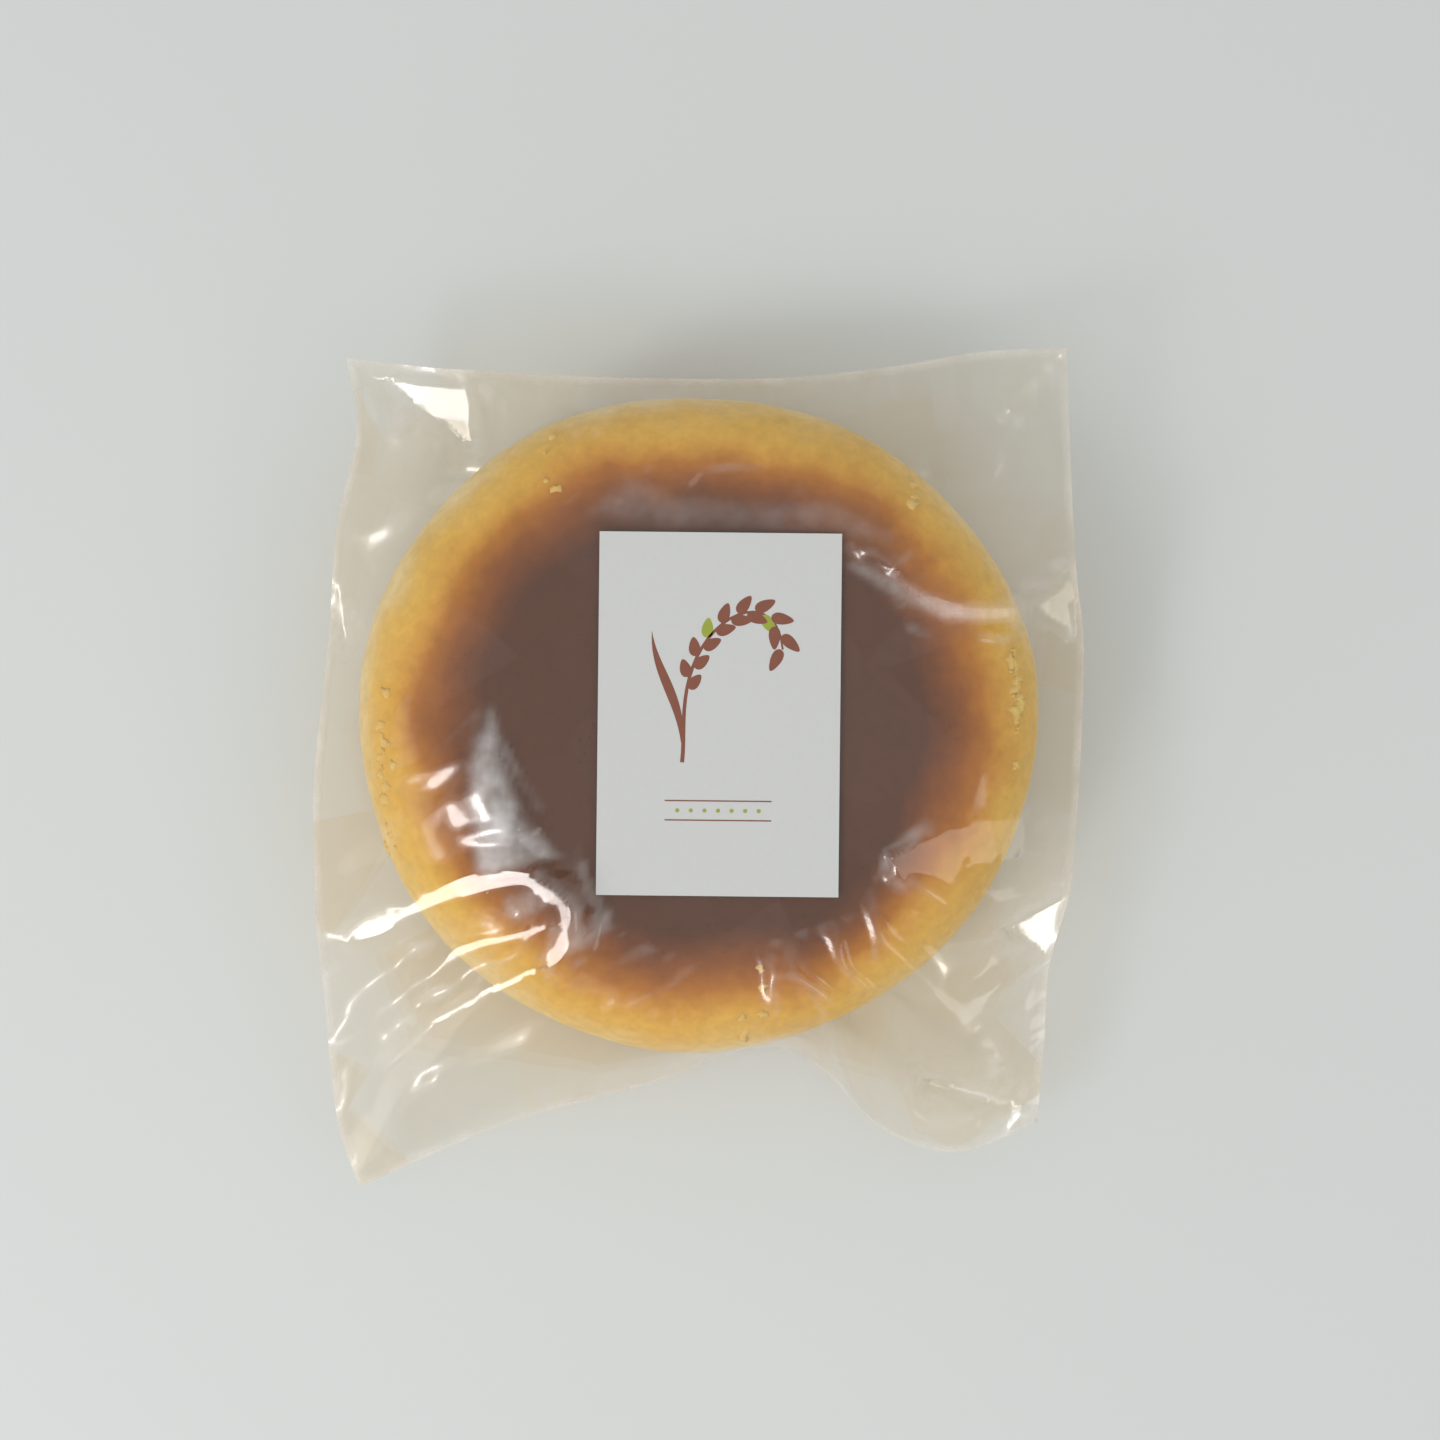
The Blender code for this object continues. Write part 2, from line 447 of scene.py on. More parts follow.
@dataclass(frozen=True)
class ClearFilm:
    """Cast polypropylene film, biaxially stretched: water clear, very glossy and faintly warm.

    Two glossy faces mirror a few percent head on and more at a slant, so each fold that faces a
    window draws a white line. Handling has left flats between its creases, some dull and some of
    doubled film. Its creases and cut edge are paler, partly as handling turns film white and partly
    as painted highlight, and a few patches carry painted sheen where the film reflects the room.
    """

    tint: str = "#fffdf9"
    doubled_tint: str = "#fef9f0"
    doubled_gloss: float = 0.15
    sheen_and_haze: str = "#f9f5f2"
    head_on: float = 0.074
    slant_power: float = 5.0
    clearest: float = 0.95
    haziest: float = 0.65
    roughness: float = 0.14
    # Pale diffuse share at a full mark: handling white, painted highlight and painted sheen
    whitening_and_sheen_share: float = 0.5
    flat_mm: float = 24.0
    flat_relief: float = 3.0
    ripple_mm: float = 7.0

    def build(self) -> bpy.types.Material:
        """Builds the film.

        Returns:
            The film as a node material.
        """
        material, tree = new_material("stretched_clear_film")
        place = add_node(tree, "TexCoord").outputs["Object"]
        flats = add_node(
            tree, "TexVoronoi",
            {"voronoi_dimensions": "2D", "Scale": 1 / (self.flat_mm * MM), "Vector": place},
        )
        chance = add_node(tree, "SeparateColor", {0: flats.outputs["Color"]})
        clear_share = add_node(
            tree, "MapRange",
            {
                "From Min": 0.25, "From Max": 0.85, "To Min": self.clearest, "To Max": self.haziest,
                "Value": chance.outputs[0],
            },
        )
        ripple = add_node(
            tree, "TexNoise", {"Scale": 1 / (self.ripple_mm * MM), "Detail": 2.0, "Vector": place}
        )
        relief = add_node(
            tree, "Math",
            {
                "operation": "MULTIPLY_ADD", 0: flats.outputs["Distance"], 1: self.flat_relief,
                2: ripple.outputs["Fac"],
            },
        )
        bump = add_node(
            tree, "Bump", {"Strength": 0.15, "Distance": 0.5 * MM, "Height": relief.outputs[0]}
        )
        facing = add_node(tree, "LayerWeight", {"Blend": 0.5, "Normal": bump.outputs["Normal"]})
        slant = add_node(
            tree, "Math", {"operation": "POWER", 0: facing.outputs["Facing"], 1: self.slant_power}
        )
        mirror = add_node(
            tree, "Math",
            {
                "operation": "MULTIPLY_ADD", "use_clamp": True, 0: slant.outputs[0],
                1: 1 - self.head_on, 2: self.head_on,
            },
        )
        doubled = add_node(
            tree, "MapRange", {"From Min": 0.4, "From Max": 0.8, "Value": chance.outputs[1]}
        )
        layers = add_node(
            tree, "Math",
            {
                "operation": "MULTIPLY_ADD", 0: doubled.outputs["Result"], 1: self.doubled_gloss,
                2: 1.0,
            },
        )
        layered = add_node(
            tree, "Math", {"operation": "MULTIPLY", 0: mirror.outputs[0], 1: layers.outputs[0]}
        )
        tinted = add_node(
            tree, "Mix",
            {
                "data_type": "RGBA", "A": linear(self.tint), "B": linear(self.doubled_tint),
                "Factor": doubled.outputs["Result"],
            },
        )
        # Pale marks: handling white plus painted highlight at creases, painted sheen in patches
        wear_and_sheen = add_node(tree, "Attribute", {"attribute_name": WHITENING_AND_SHEEN})
        patchy = add_node(
            tree, "MapRange",
            {
                "From Min": 0.35, "From Max": 0.65, "To Min": 0.45, "To Max": 1.35,
                "Value": ripple.outputs["Fac"],
            },
        )
        patchy_wear_and_sheen = add_node(
            tree, "Math",
            {"operation": "MULTIPLY", 0: wear_and_sheen.outputs["Fac"], 1: patchy.outputs["Result"]},
        )
        seen = add_node(
            tree, "Math",
            {
                "operation": "MULTIPLY_ADD", "use_clamp": True, 0: patchy_wear_and_sheen.outputs[0],
                1: self.whitening_and_sheen_share, 2: layered.outputs[0],
            },
        )
        mirror_share = add_node(
            tree, "Math", {"operation": "DIVIDE", 0: layered.outputs[0], 1: seen.outputs[0]}
        )
        sheen = add_node(
            tree, "Math",
            {"operation": "MULTIPLY", 0: clear_share.outputs["Result"], 1: mirror_share.outputs[0]},
        )
        clear = add_node(tree, "BsdfTransparent", {"Color": tinted.outputs["Result"]})
        gloss = add_node(
            tree, "BsdfPrincipled",
            {
                "Base Color": linear(self.sheen_and_haze), "Roughness": self.roughness, "IOR": 1.5,
                "Metallic": sheen.outputs[0], "Normal": bump.outputs["Normal"],
            },
        )
        film = add_node(
            tree, "MixShader", {0: seen.outputs[0], 1: clear.outputs[0], 2: gloss.outputs[0]}
        )
        add_node(tree, "OutputMaterial", {"Surface": film.outputs[0]})
        return material


@dataclass(frozen=True)
class CakeForm:
    """The cake's form in millimetres, which the cake and the film over it are both worked from."""

    half_width_mm: float = 72.2
    half_depth_mm: float = 69.6
    height_mm: float = 41.6
    shoulder_mm: float = 17.0
    base_inset_mm: float = 3.0
    base_rounding_mm: float = 5.0
    wavers: tuple[tuple[int, float, float], ...] = ((3, 0.5, 0.7), (7, 0.3, 0.0))
    nowhere_mm: float = -100.0

    def radius(self, angle: np.ndarray) -> np.ndarray:
        """Finds how far the cake's side stands from its middle.

        Args:
            angle: Directions in radians.

        Returns:
            The cake's half width in millimetres in each direction.
        """
        across = self.half_width_mm * np.sin(angle)
        along = self.half_depth_mm * np.cos(angle)
        waver = sum(height * np.sin(waves * angle + start) for waves, height, start in self.wavers)
        return self.half_width_mm * self.half_depth_mm / np.hypot(across, along) + waver

    def top(self, x: np.ndarray, y: np.ndarray, gap: float) -> np.ndarray:
        """Finds the height of a skin that lies over the cake.

        Args:
            x: Places in millimetres.
            y: Places in millimetres.
            gap: How far the skin stands off the cake, in millimetres.

        Returns:
            The height in millimetres, far below the floor outside the cake.
        """
        rounded = self.shoulder_mm + gap
        edge = self.radius(np.arctan2(y, x))
        out = np.clip((np.hypot(x, y) - edge + self.shoulder_mm) / rounded, 0.0, None)
        rise = rounded * np.sqrt(np.clip(1 - out**2, 0.0, 1.0))
        return np.where(out < 1.0, self.height_mm - self.shoulder_mm + rise, self.nowhere_mm)


@dataclass(frozen=True)
class BagEdge:
    """The bag's edge in millimetres: a corner, then each side's points up to its far corner."""

    corner: Point = (73.3, -86.1, 16.0)
    right: tuple[Point, ...] = (
        (74.5, -69.1, 18.0), (75.0, -52.4, 22.5), (78.6, -36.7, 28.0), (80.2, -27.1, 24.0),
        (81.7, -10.1, 22.0), (82.4, 15.5, 23.0), (80.1, 28.9, 31.0), (79.9, 40.8, 26.0),
        (79.5, 54.6, 24.0), (78.6, 79.8, 24.0),
    )
    back: tuple[Point, ...] = (
        (60.2, 79.0, 23.0), (42.7, 76.4, 20.0), (17.3, 73.2, 25.0), (-12.5, 73.7, 21.0),
        (-35.6, 74.1, 25.0), (-47.0, 74.2, 30.5), (-57.6, 75.2, 27.5), (-74.9, 77.7, 23.0),
    )
    left: tuple[Point, ...] = (
        (-72.7, 62.5, 22.0), (-76.8, 41.1, 24.0), (-79.3, 17.6, 18.8), (-81.9, -12.3, 22.0),
        (-81.2, -33.7, 25.5), (-80.0, -44.2, 31.2), (-79.3, -57.6, 25.0), (-78.9, -72.7, 19.0),
        (-77.6, -87.8, 14.0), (-73.8, -101.2, 10.0),
    )
    front: tuple[Point, ...] = (
        (-41.9, -86.8, 15.0), (-11.5, -78.7, 12.0), (10.5, -71.7, 9.0), (20.1, -72.0, 8.0),
        (28.7, -76.9, 11.0), (37.3, -86.0, 14.0), (48.1, -91.7, 14.0), (58.9, -92.5, 14.0),
        (73.3, -86.1, 16.0),
    )
    fineness: int = 40
    outline_steps: int = 200

    def side(self, start: Point, points: Sequence[Point], count: int) -> np.ndarray:
        """Spaces points evenly along a smooth curve.

        Args:
            start: Where the side starts.
            points: What the curve passes through.
            count: How many steps the side has.

        Returns:
            count + 1 points.
        """
        knots = np.array([start, *points], float)
        ends = np.vstack([2 * knots[0] - knots[1], knots, 2 * knots[-1] - knots[-2]])
        spans = len(knots) - 1
        place = np.linspace(0, spans, self.fineness * spans + 1)
        span = np.minimum(place.astype(int), spans - 1)
        t = (place - span)[:, None]
        before, first, second, after = (ends[span + step] for step in range(4))
        curve = 0.5 * (
            2 * first
            + (second - before) * t
            + (2 * before - 5 * first + 4 * second - after) * t**2
            + (3 * first - before - 3 * second + after) * t**3
        )
        steps = np.linalg.norm(np.diff(curve, axis=0), axis=1)
        length = np.concatenate([[0.0], np.cumsum(steps)])
        even = np.linspace(0, length[-1], count + 1)
        return np.stack([np.interp(even, length, curve[:, axis]) for axis in range(3)], axis=1)

    def sides(self, columns: int, rows: int) -> tuple[np.ndarray, ...]:
        """Divides the four sides.

        Args:
            columns: Steps along the front and the back.
            rows: Steps along the left and the right.

        Returns:
            Front and back from left to right, left and right from front to back.
        """
        right = self.side(self.corner, self.right, rows)
        back = self.side(self.right[-1], self.back, columns)[::-1]
        left = self.side(self.back[-1], self.left, rows)[::-1]
        front = self.side(self.left[-1], self.front, columns)
        return front, back, left, right

    def patch(self, columns: int, rows: int) -> np.ndarray:
        """Fills the edge with a smooth surface.

        Args:
            columns: Steps from left to right.
            rows: Steps from front to back.

        Returns:
            An array of rows + 1 by columns + 1 points.
        """
        front, back, left, right = self.sides(columns, rows)
        u = np.linspace(0, 1, columns + 1)[None, :, None]
        v = np.linspace(0, 1, rows + 1)[:, None, None]
        between = (1 - v) * front[None] + v * back[None]
        across = (1 - u) * left[:, None] + u * right[:, None]
        front_pair = (1 - u) * front[0] + u * front[-1]
        back_pair = (1 - u) * back[0] + u * back[-1]
        return between + across - (1 - v) * front_pair - v * back_pair

    def outline(self) -> tuple[np.ndarray, np.ndarray, np.ndarray]:
        """Unrolls the edge as seen from the cake's middle.

        Returns:
            The edge's angles over three turns, then its distance and its height at each.
        """
        front, back, left, right = self.sides(self.outline_steps, self.outline_steps)
        loop = np.vstack([front, right, back[::-1], left[::-1]])
        angle = np.arctan2(loop[:, 1], loop[:, 0])
        order = np.argsort(angle)
        turn = 2 * math.pi
        turns = np.concatenate([angle[order] - turn, angle[order], angle[order] + turn])
        reach = np.tile(np.hypot(loop[order, 0], loop[order, 1]), 3)
        return turns, reach, np.tile(loop[order, 2], 3)


@dataclass(frozen=True)
class Fold:
    """A crease in the upper film, in millimetres.

    rise is the crease's height, below zero for a valley. The film comes back to its run within left
    or right of the path, as seen along it, and lead and tail are the shares of the path over which
    the crease grows and dies. crest is how widely its top is rounded, and flare is how hollow its
    sides are.
    """

    path: tuple[Pair, ...]
    rise: float
    left: float
    right: float
    lead: float = 0.25
    tail: float = 0.25
    crest: float = 0.5
    flare: float = 1.5

    def height(self, x: np.ndarray, y: np.ndarray) -> np.ndarray:
        """Finds how far this crease lifts the film.

        Args:
            x: Places in millimetres.
            y: Places in millimetres.

        Returns:
            The lift in millimetres.
        """
        path = np.array(self.path, float)
        steps = np.diff(path, axis=0)
        lengths = np.linalg.norm(steps, axis=1)
        starts = np.concatenate([[0.0], np.cumsum(lengths)])
        nearest = np.full(x.shape, np.inf)
        along = np.zeros(x.shape)
        width = np.ones(x.shape)
        for at, (step, length) in enumerate(zip(steps, lengths)):
            off_x, off_y = x - path[at, 0], y - path[at, 1]
            share = np.clip((off_x * step[0] + off_y * step[1]) / length**2, 0, 1)
            distance = np.hypot(off_x - share * step[0], off_y - share * step[1])
            leftward = step[0] * off_y - step[1] * off_x > 0
            nearer = distance < nearest
            nearest = np.where(nearer, distance, nearest)
            along = np.where(nearer, (starts[at] + share * length) / starts[-1], along)
            width = np.where(nearer, np.where(leftward, self.left, self.right), width)
        rounded = np.hypot(nearest, self.crest) - self.crest
        profile = np.clip(1 - rounded / width, 0, None) ** self.flare
        return self.rise * profile * eased(along / self.lead) * eased((1 - along) / self.tail)


class Sheet(Enum):
    """The two sheets of film; the value is the side of the cake that each lies on."""

    OVER = 1
    UNDER = -1


FOLDS = (
    # The hood at the front left: its crest, then the flutes that run down to the corner
    Fold(
        (
            (-80.6, -43.9), (-73.6, -46.5), (-65.7, -42.1), (-57.0, -37.4), (-48.3, -33.4),
            (-41.3, -32.2), (-36.1, -33.0), (-30.8, -36.0), (-27.7, -39.5), (-27.7, -43.0),
            (-30.0, -48.2), (-32.6, -51.7),
        ),
        2.0, 7.0, 9.0, 0.3, 0.25, 2.0,
    ),
    Fold(((-78.0, -36.0), (-62.0, -31.5), (-48.0, -26.0)), -2.5, 6.0, 5.0, 0.2, 0.4),
    Fold(
        (
            (-29.0, -40.0), (-36.1, -42.1), (-44.8, -46.5), (-55.3, -54.3), (-65.7, -62.2),
            (-78.0, -73.0),
        ),
        3.5, 5.0, 6.0, 0.2, 0.3, 1.5,
    ),
    Fold(
        ((-34.0, -46.0), (-47.4, -51.5), (-60.0, -61.0), (-72.0, -72.0)),
        -3.5, 4.0, 4.0, 0.3, 0.3,
    ),
    Fold(
        ((-30.5, -39.0), (-38.0, -39.6), (-46.0, -40.6), (-56.0, -45.5), (-72.0, -57.0)),
        -5.0, 5.5, 5.5, 0.1, 0.3,
    ),
    Fold(
        ((-31.0, -50.0), (-43.0, -56.1), (-55.3, -63.9), (-64.0, -70.0), (-73.0, -86.0)),
        4.5, 5.0, 6.0, 0.15, 0.3,
    ),
    # The veil that stands over the cake's left side, up to the hood's crest
    Fold(((-45.5, 3.0), (-39.6, -15.9), (-33.0, -30.0)), 4.5, 4.5, 12.0, 0.25, 0.3, 1.5),
    # The left side
    Fold(((-80.0, 36.5), (-67.5, 43.4), (-60.5, 48.6), (-52.0, 52.0)), 3.5, 5.0, 7.0, 0.2, 0.4),
    Fold(((-78.2, 36.0), (-76.2, 27.0), (-74.8, 17.2), (-75.5, 6.0)), 3.0, 5.0, 4.0, 0.3, 0.4),
    Fold(((-72.0, 31.0), (-67.5, 29.4), (-58.8, 24.2), (-49.2, 19.0)), -3.0, 5.0, 6.0, 0.3, 0.5),
    Fold(((-76.0, 76.0), (-67.0, 62.0), (-60.0, 52.0)), 3.0, 6.0, 5.0, 0.3, 0.4),
    # The back: a cone that opens towards the edge, and a small wrinkle by the label
    Fold(((-49.2, 72.5), (-38.0, 66.0), (-29.1, 60.8), (-16.0, 56.0)), 3.5, 6.0, 4.0, 0.2, 0.4),
    Fold(((-31.0, 73.0), (-24.0, 65.0), (-16.0, 56.0)), 3.0, 4.0, 6.0, 0.2, 0.4),
    Fold(
        ((-24.0, 45.0), (-14.0, 47.0), (-10.0, 52.0), (-5.0, 48.8), (6.0, 47.0)),
        1.5, 3.0, 3.0, 0.3, 0.4,
    ),
    # The right side: the long curved crease, the fan above it and the wedge below
    Fold(
        (
            (33.7, 38.1), (38.9, 32.9), (45.0, 26.8), (51.2, 23.7), (58.1, 22.4), (66.9, 23.3),
            (82.5, 26.0),
        ),
        4.5, 9.0, 4.5, 0.25, 0.2,
    ),
    Fold(((60.0, 25.0), (68.0, 26.0), (81.5, 33.0)), 3.0, 5.0, 5.0, 0.4, 0.2),
    Fold(((41.6, -29.9), (52.0, -26.0), (66.9, -22.9), (81.5, -19.0)), 4.5, 6.0, 7.0, 0.1, 0.2),
    Fold(((43.0, -33.5), (58.1, -29.0), (70.0, -30.0), (80.0, -32.0)), -3.0, 5.0, 5.0, 0.15, 0.3),
    # The back right corner, and the flat creases that the bag was folded to
    Fold(((79.5, 80.0), (71.2, 69.6), (65.1, 57.3), (56.0, 46.0)), 4.0, 6.0, 6.0, 0.2, 0.4),
    Fold(((51.2, 76.0), (51.2, 44.0), (51.2, 14.0)), 0.8, 2.0, 2.0, 0.1, 0.3),
    Fold(((60.0, 53.5), (80.0, 53.5)), 0.8, 2.0, 2.0, 0.3, 0.1),
    # The front right corner and the front
    Fold(((46.0, -75.0), (61.6, -79.6), (73.0, -85.5)), 3.5, 6.0, 4.0, 0.3, 0.15),
    Fold(((72.0, -84.0), (60.0, -66.0), (48.0, -52.0)), 3.0, 7.0, 7.0, 0.3, 0.5),
    Fold(((60.7, -60.4), (68.0, -53.0)), 1.5, 4.0, 4.0, 0.5, 0.5),
    Fold(((-56.0, -71.5), (-40.0, -70.0), (-26.0, -70.6), (-10.0, -71.5)), 2.0, 4.0, 3.0, 0.3, 0.3),
    Fold(((-66.0, -83.0), (-55.3, -76.1), (-48.0, -73.0)), 1.8, 4.0, 3.0, 0.3, 0.4),
    Fold(((12.0, -48.0), (18.0, -49.6), (24.0, -54.0)), 1.8, 4.0, 4.0, 0.4, 0.4),
)

# The keels that the lower film's corners hang down to
KEELS = (
    Fold(((46.0, 46.0), (78.0, 79.0)), -6.0, 18.0, 18.0, 0.3, 0.3, 2.0),
    Fold(((44.0, -48.0), (73.0, -85.0)), -5.0, 15.0, 15.0, 0.3, 0.3, 2.0),
    Fold(((-46.0, 48.0), (-74.0, 77.0)), -5.0, 15.0, 15.0, 0.3, 0.3, 2.0),
    Fold(((70.0, 20.0), (82.0, 22.0)), -2.0, 9.0, 12.0, 0.3, 0.3, 1.0),
)

# Where the film lies on the cake's top and clings to it, in millimetres
CLING = (
    (-48.3, 17.2), (-43.9, 25.9), (-36.1, 32.9), (-26.5, 41.6), (-11.7, 43.5), (11.0, 45.0),
    (26.7, 42.5), (34.0, 33.5), (44.0, 21.0), (50.0, 10.2), (51.0, -7.2), (47.0, -21.2),
    (39.0, -30.9), (33.5, -40.1), (18.0, -46.0), (-2.9, -49.6), (-15.0, -46.0), (-21.8, -37.2),
    (-25.0, -27.0), (-36.6, -12.2), (-44.5, 1.5),
)


@dataclass(frozen=True)
class Facet:
    """A flat between the upper film's creases.

    level is where its plane meets the z axis, in millimetres. The plane rises to the right and to
    the back by the shares in lean, so that the facet faces the window.
    """

    level: float
    lean: Pair
    corners: tuple[Pair, ...]

    def plane(self, x: np.ndarray, y: np.ndarray) -> np.ndarray:
        """Returns the height of the facet's plane in millimetres."""
        return self.level + self.lean[0] * x + self.lean[1] * y


FACETS = (
    # The hood's crest, the crease that leads to it and the starts of its two flutes
    Facet(
        64.9, (0.29, 0.228),
        (
            (-72.2, -45.9), (-64.2, -40.7), (-57.1, -36.6), (-51.8, -33.5), (-47.4, -31.6),
            (-43.0, -30.5), (-37.9, -30.4), (-32.8, -31.0), (-29.0, -32.8), (-26.0, -35.3),
            (-24.9, -38.7), (-25.1, -43.1), (-26.5, -46.7), (-28.4, -49.2), (-31.0, -50.8),
            (-32.4, -50.0), (-31.5, -47.9), (-30.2, -45.3), (-28.6, -42.7), (-28.0, -40.1),
            (-28.2, -38.3), (-29.4, -37.1), (-31.1, -37.3), (-32.8, -35.4), (-34.5, -33.2),
            (-37.9, -33.3), (-43.1, -34.4), (-50.1, -36.6), (-58.9, -40.2), (-66.1, -44.2),
        ),
    ),
    Facet(
        65.1, (0.29, 0.228),
        ((-81.0, -43.0), (-76.3, -44.5), (-72.6, -46.0), (-72.9, -46.5), (-76.3, -45.2)),
    ),
    Facet(
        63.0, (0.29, 0.228),
        (
            (-31.0, -40.9), (-34.9, -42.9), (-39.8, -44.2), (-44.4, -44.9), (-49.9, -46.8),
            (-53.5, -49.7), (-48.2, -48.8), (-41.9, -46.6), (-34.9, -44.3), (-30.5, -42.1),
        ),
    ),
    Facet(
        64.3, (0.29, 0.228),
        (
            (-31.3, -50.0), (-35.8, -51.5), (-39.9, -53.4), (-44.7, -55.8), (-50.1, -59.0),
            (-55.5, -62.0), (-54.6, -62.9), (-49.2, -60.2), (-43.8, -57.0), (-39.4, -54.8),
            (-35.0, -52.7), (-31.8, -51.2),
        ),
    ),
    # The back left and the front right triangle, and the bright streaks near the edge
    Facet(
        15.8, (0.269, 0.383),
        (
            (-48.7, 70.8), (-69.9, 74.0), (-64.9, 71.0), (-58.7, 66.8), (-53.3, 63.2),
            (-49.5, 59.4), (-47.9, 58.8), (-47.7, 67.3),
        ),
    ),
    Facet(-1.0, (0.466, 0.208), ((80.5, -35.6), (65.9, -44.6), (71.4, -47.8), (76.6, -52.2))),
    Facet(
        31.0, (0.246, 0.321),
        (
            (-78.0, 33.5), (-76.4, 29.9), (-75.4, 24.3), (-75.3, 17.3), (-76.0, 17.3),
            (-76.3, 24.0), (-77.2, 29.2),
        ),
    ),
    Facet(
        3.6, (0.34, 0.12),
        (
            (49.4, -77.6), (57.2, -78.6), (64.1, -80.1), (67.9, -81.0), (71.8, -84.3),
            (72.1, -85.7), (69.0, -84.6), (65.5, -82.9), (49.4, -78.4),
        ),
    ),
    # The long curved crease on the right, the fan at its end and the pale wedge below it
    Facet(
        18.6, (0.309, 0.375),
        (
            (40.5, 32.3), (43.9, 29.2), (48.3, 26.2), (53.1, 24.5), (59.6, 23.9), (65.3, 23.9),
            (65.3, 21.1), (59.6, 20.7), (53.6, 21.0), (49.3, 22.2), (44.8, 24.4), (41.4, 27.5),
            (38.9, 30.5),
        ),
    ),
    Facet(-6.9, (0.38, 0.26), ((70.8, 25.0), (78.8, 30.2), (80.6, 17.5), (71.0, 22.8))),
    Facet(
        66.2, (-0.36, 0.22),
        (
            (39.7, -27.3), (51.7, -22.7), (60.4, -20.4), (68.4, -19.4), (68.6, -27.8),
            (62.4, -29.1), (55.3, -29.3), (47.4, -30.2), (42.2, -32.1),
        ),
    ),
)


def to_outline(
    x: np.ndarray, y: np.ndarray, corners: Sequence[Pair]
) -> tuple[np.ndarray, np.ndarray, np.ndarray]:
    """Finds the nearest place on a polygon's outline.

    Args:
        x: Places.
        y: Places.
        corners: The polygon's corners in order.

    Returns:
        How far inside each place is, below zero outside, and the x and y of the outline there.
    """
    inside = np.zeros(x.shape, bool)
    nearest = np.full(x.shape, np.inf)
    near_x, near_y = x.copy(), y.copy()
    for here, after in zip(corners, (*corners[1:], corners[0])):
        run, rise = after[0] - here[0], after[1] - here[1]
        off_x, off_y = x - here[0], y - here[1]
        share = np.clip((off_x * run + off_y * rise) / (run**2 + rise**2), 0, 1)
        distance = np.hypot(off_x - share * run, off_y - share * rise)
        nearer = distance < nearest
        nearest = np.where(nearer, distance, nearest)
        near_x = np.where(nearer, here[0] + share * run, near_x)
        near_y = np.where(nearer, here[1] + share * rise, near_y)
        if rise != 0:
            spans = (here[1] > y) != (after[1] > y)
            inside ^= spans & (off_x < off_y / rise * run)
    return np.where(inside, nearest, -nearest), near_x, near_y


@dataclass(frozen=True)
class PaintedSheen:
    """A patch of painted sheen on the upper film, pale white where the film reflects the room.

    strength is how pale it is painted, from 0 to 1, and soft_mm is how wide its edge fades.
    """

    strength: float
    soft_mm: float
    corners: tuple[Pair, ...]

    def sheen_and_haze(self, x: np.ndarray, y: np.ndarray) -> np.ndarray:
        """Returns how much painted sheen the film has at each place."""
        depth, _, _ = to_outline(x, y, self.corners)
        return self.strength * eased(np.clip(0.5 + depth / self.soft_mm, 0, 1))


# Patches of painted sheen, where the upper film reflects the room
PAINTED_SHEENS = (
    # The tall one on the left, then the two at the hood's loop
    PaintedSheen(
        0.8, 4.0,
        (
            (-42.7, 2.5), (-40.9, -5.8), (-38.2, -15.2), (-34.7, -21.4), (-29.8, -27.5),
            (-35.9, -28.9), (-41.7, -31.3), (-45.0, -30.3), (-45.4, -24.5), (-46.3, -16.2),
            (-46.1, -8.9), (-44.5, -3.2),
        ),
    ),
    PaintedSheen(
        0.7, 3.0,
        ((-39.4, -36.3), (-32.8, -34.6), (-31.2, -37.3), (-35.9, -40.4), (-39.0, -39.4)),
    ),
    PaintedSheen(
        0.5, 3.5,
        (
            (-27.4, -47.4), (-25.5, -44.0), (-21.3, -39.6), (-18.3, -39.3), (-18.0, -42.0),
            (-22.4, -45.8),
        ),
    ),
    # Along the long curved crease, and above the label
    PaintedSheen(
        0.42, 3.0,
        (
            (33.0, 33.5), (39.5, 30.2), (44.6, 27.2), (50.7, 24.7), (57.9, 23.7), (67.0, 24.2),
            (67.0, 21.1), (57.9, 20.8), (50.7, 21.8), (43.6, 24.9), (37.5, 28.4), (31.5, 32.5),
        ),
    ),
    PaintedSheen(
        0.14, 4.0,
        (
            (-14.0, 50.5), (-4.0, 46.0), (10.0, 45.0), (28.0, 45.0), (40.0, 39.0), (40.0, 36.5),
            (28.0, 40.0), (10.0, 40.5), (-8.0, 41.0), (-22.0, 43.5),
        ),
    ),
)


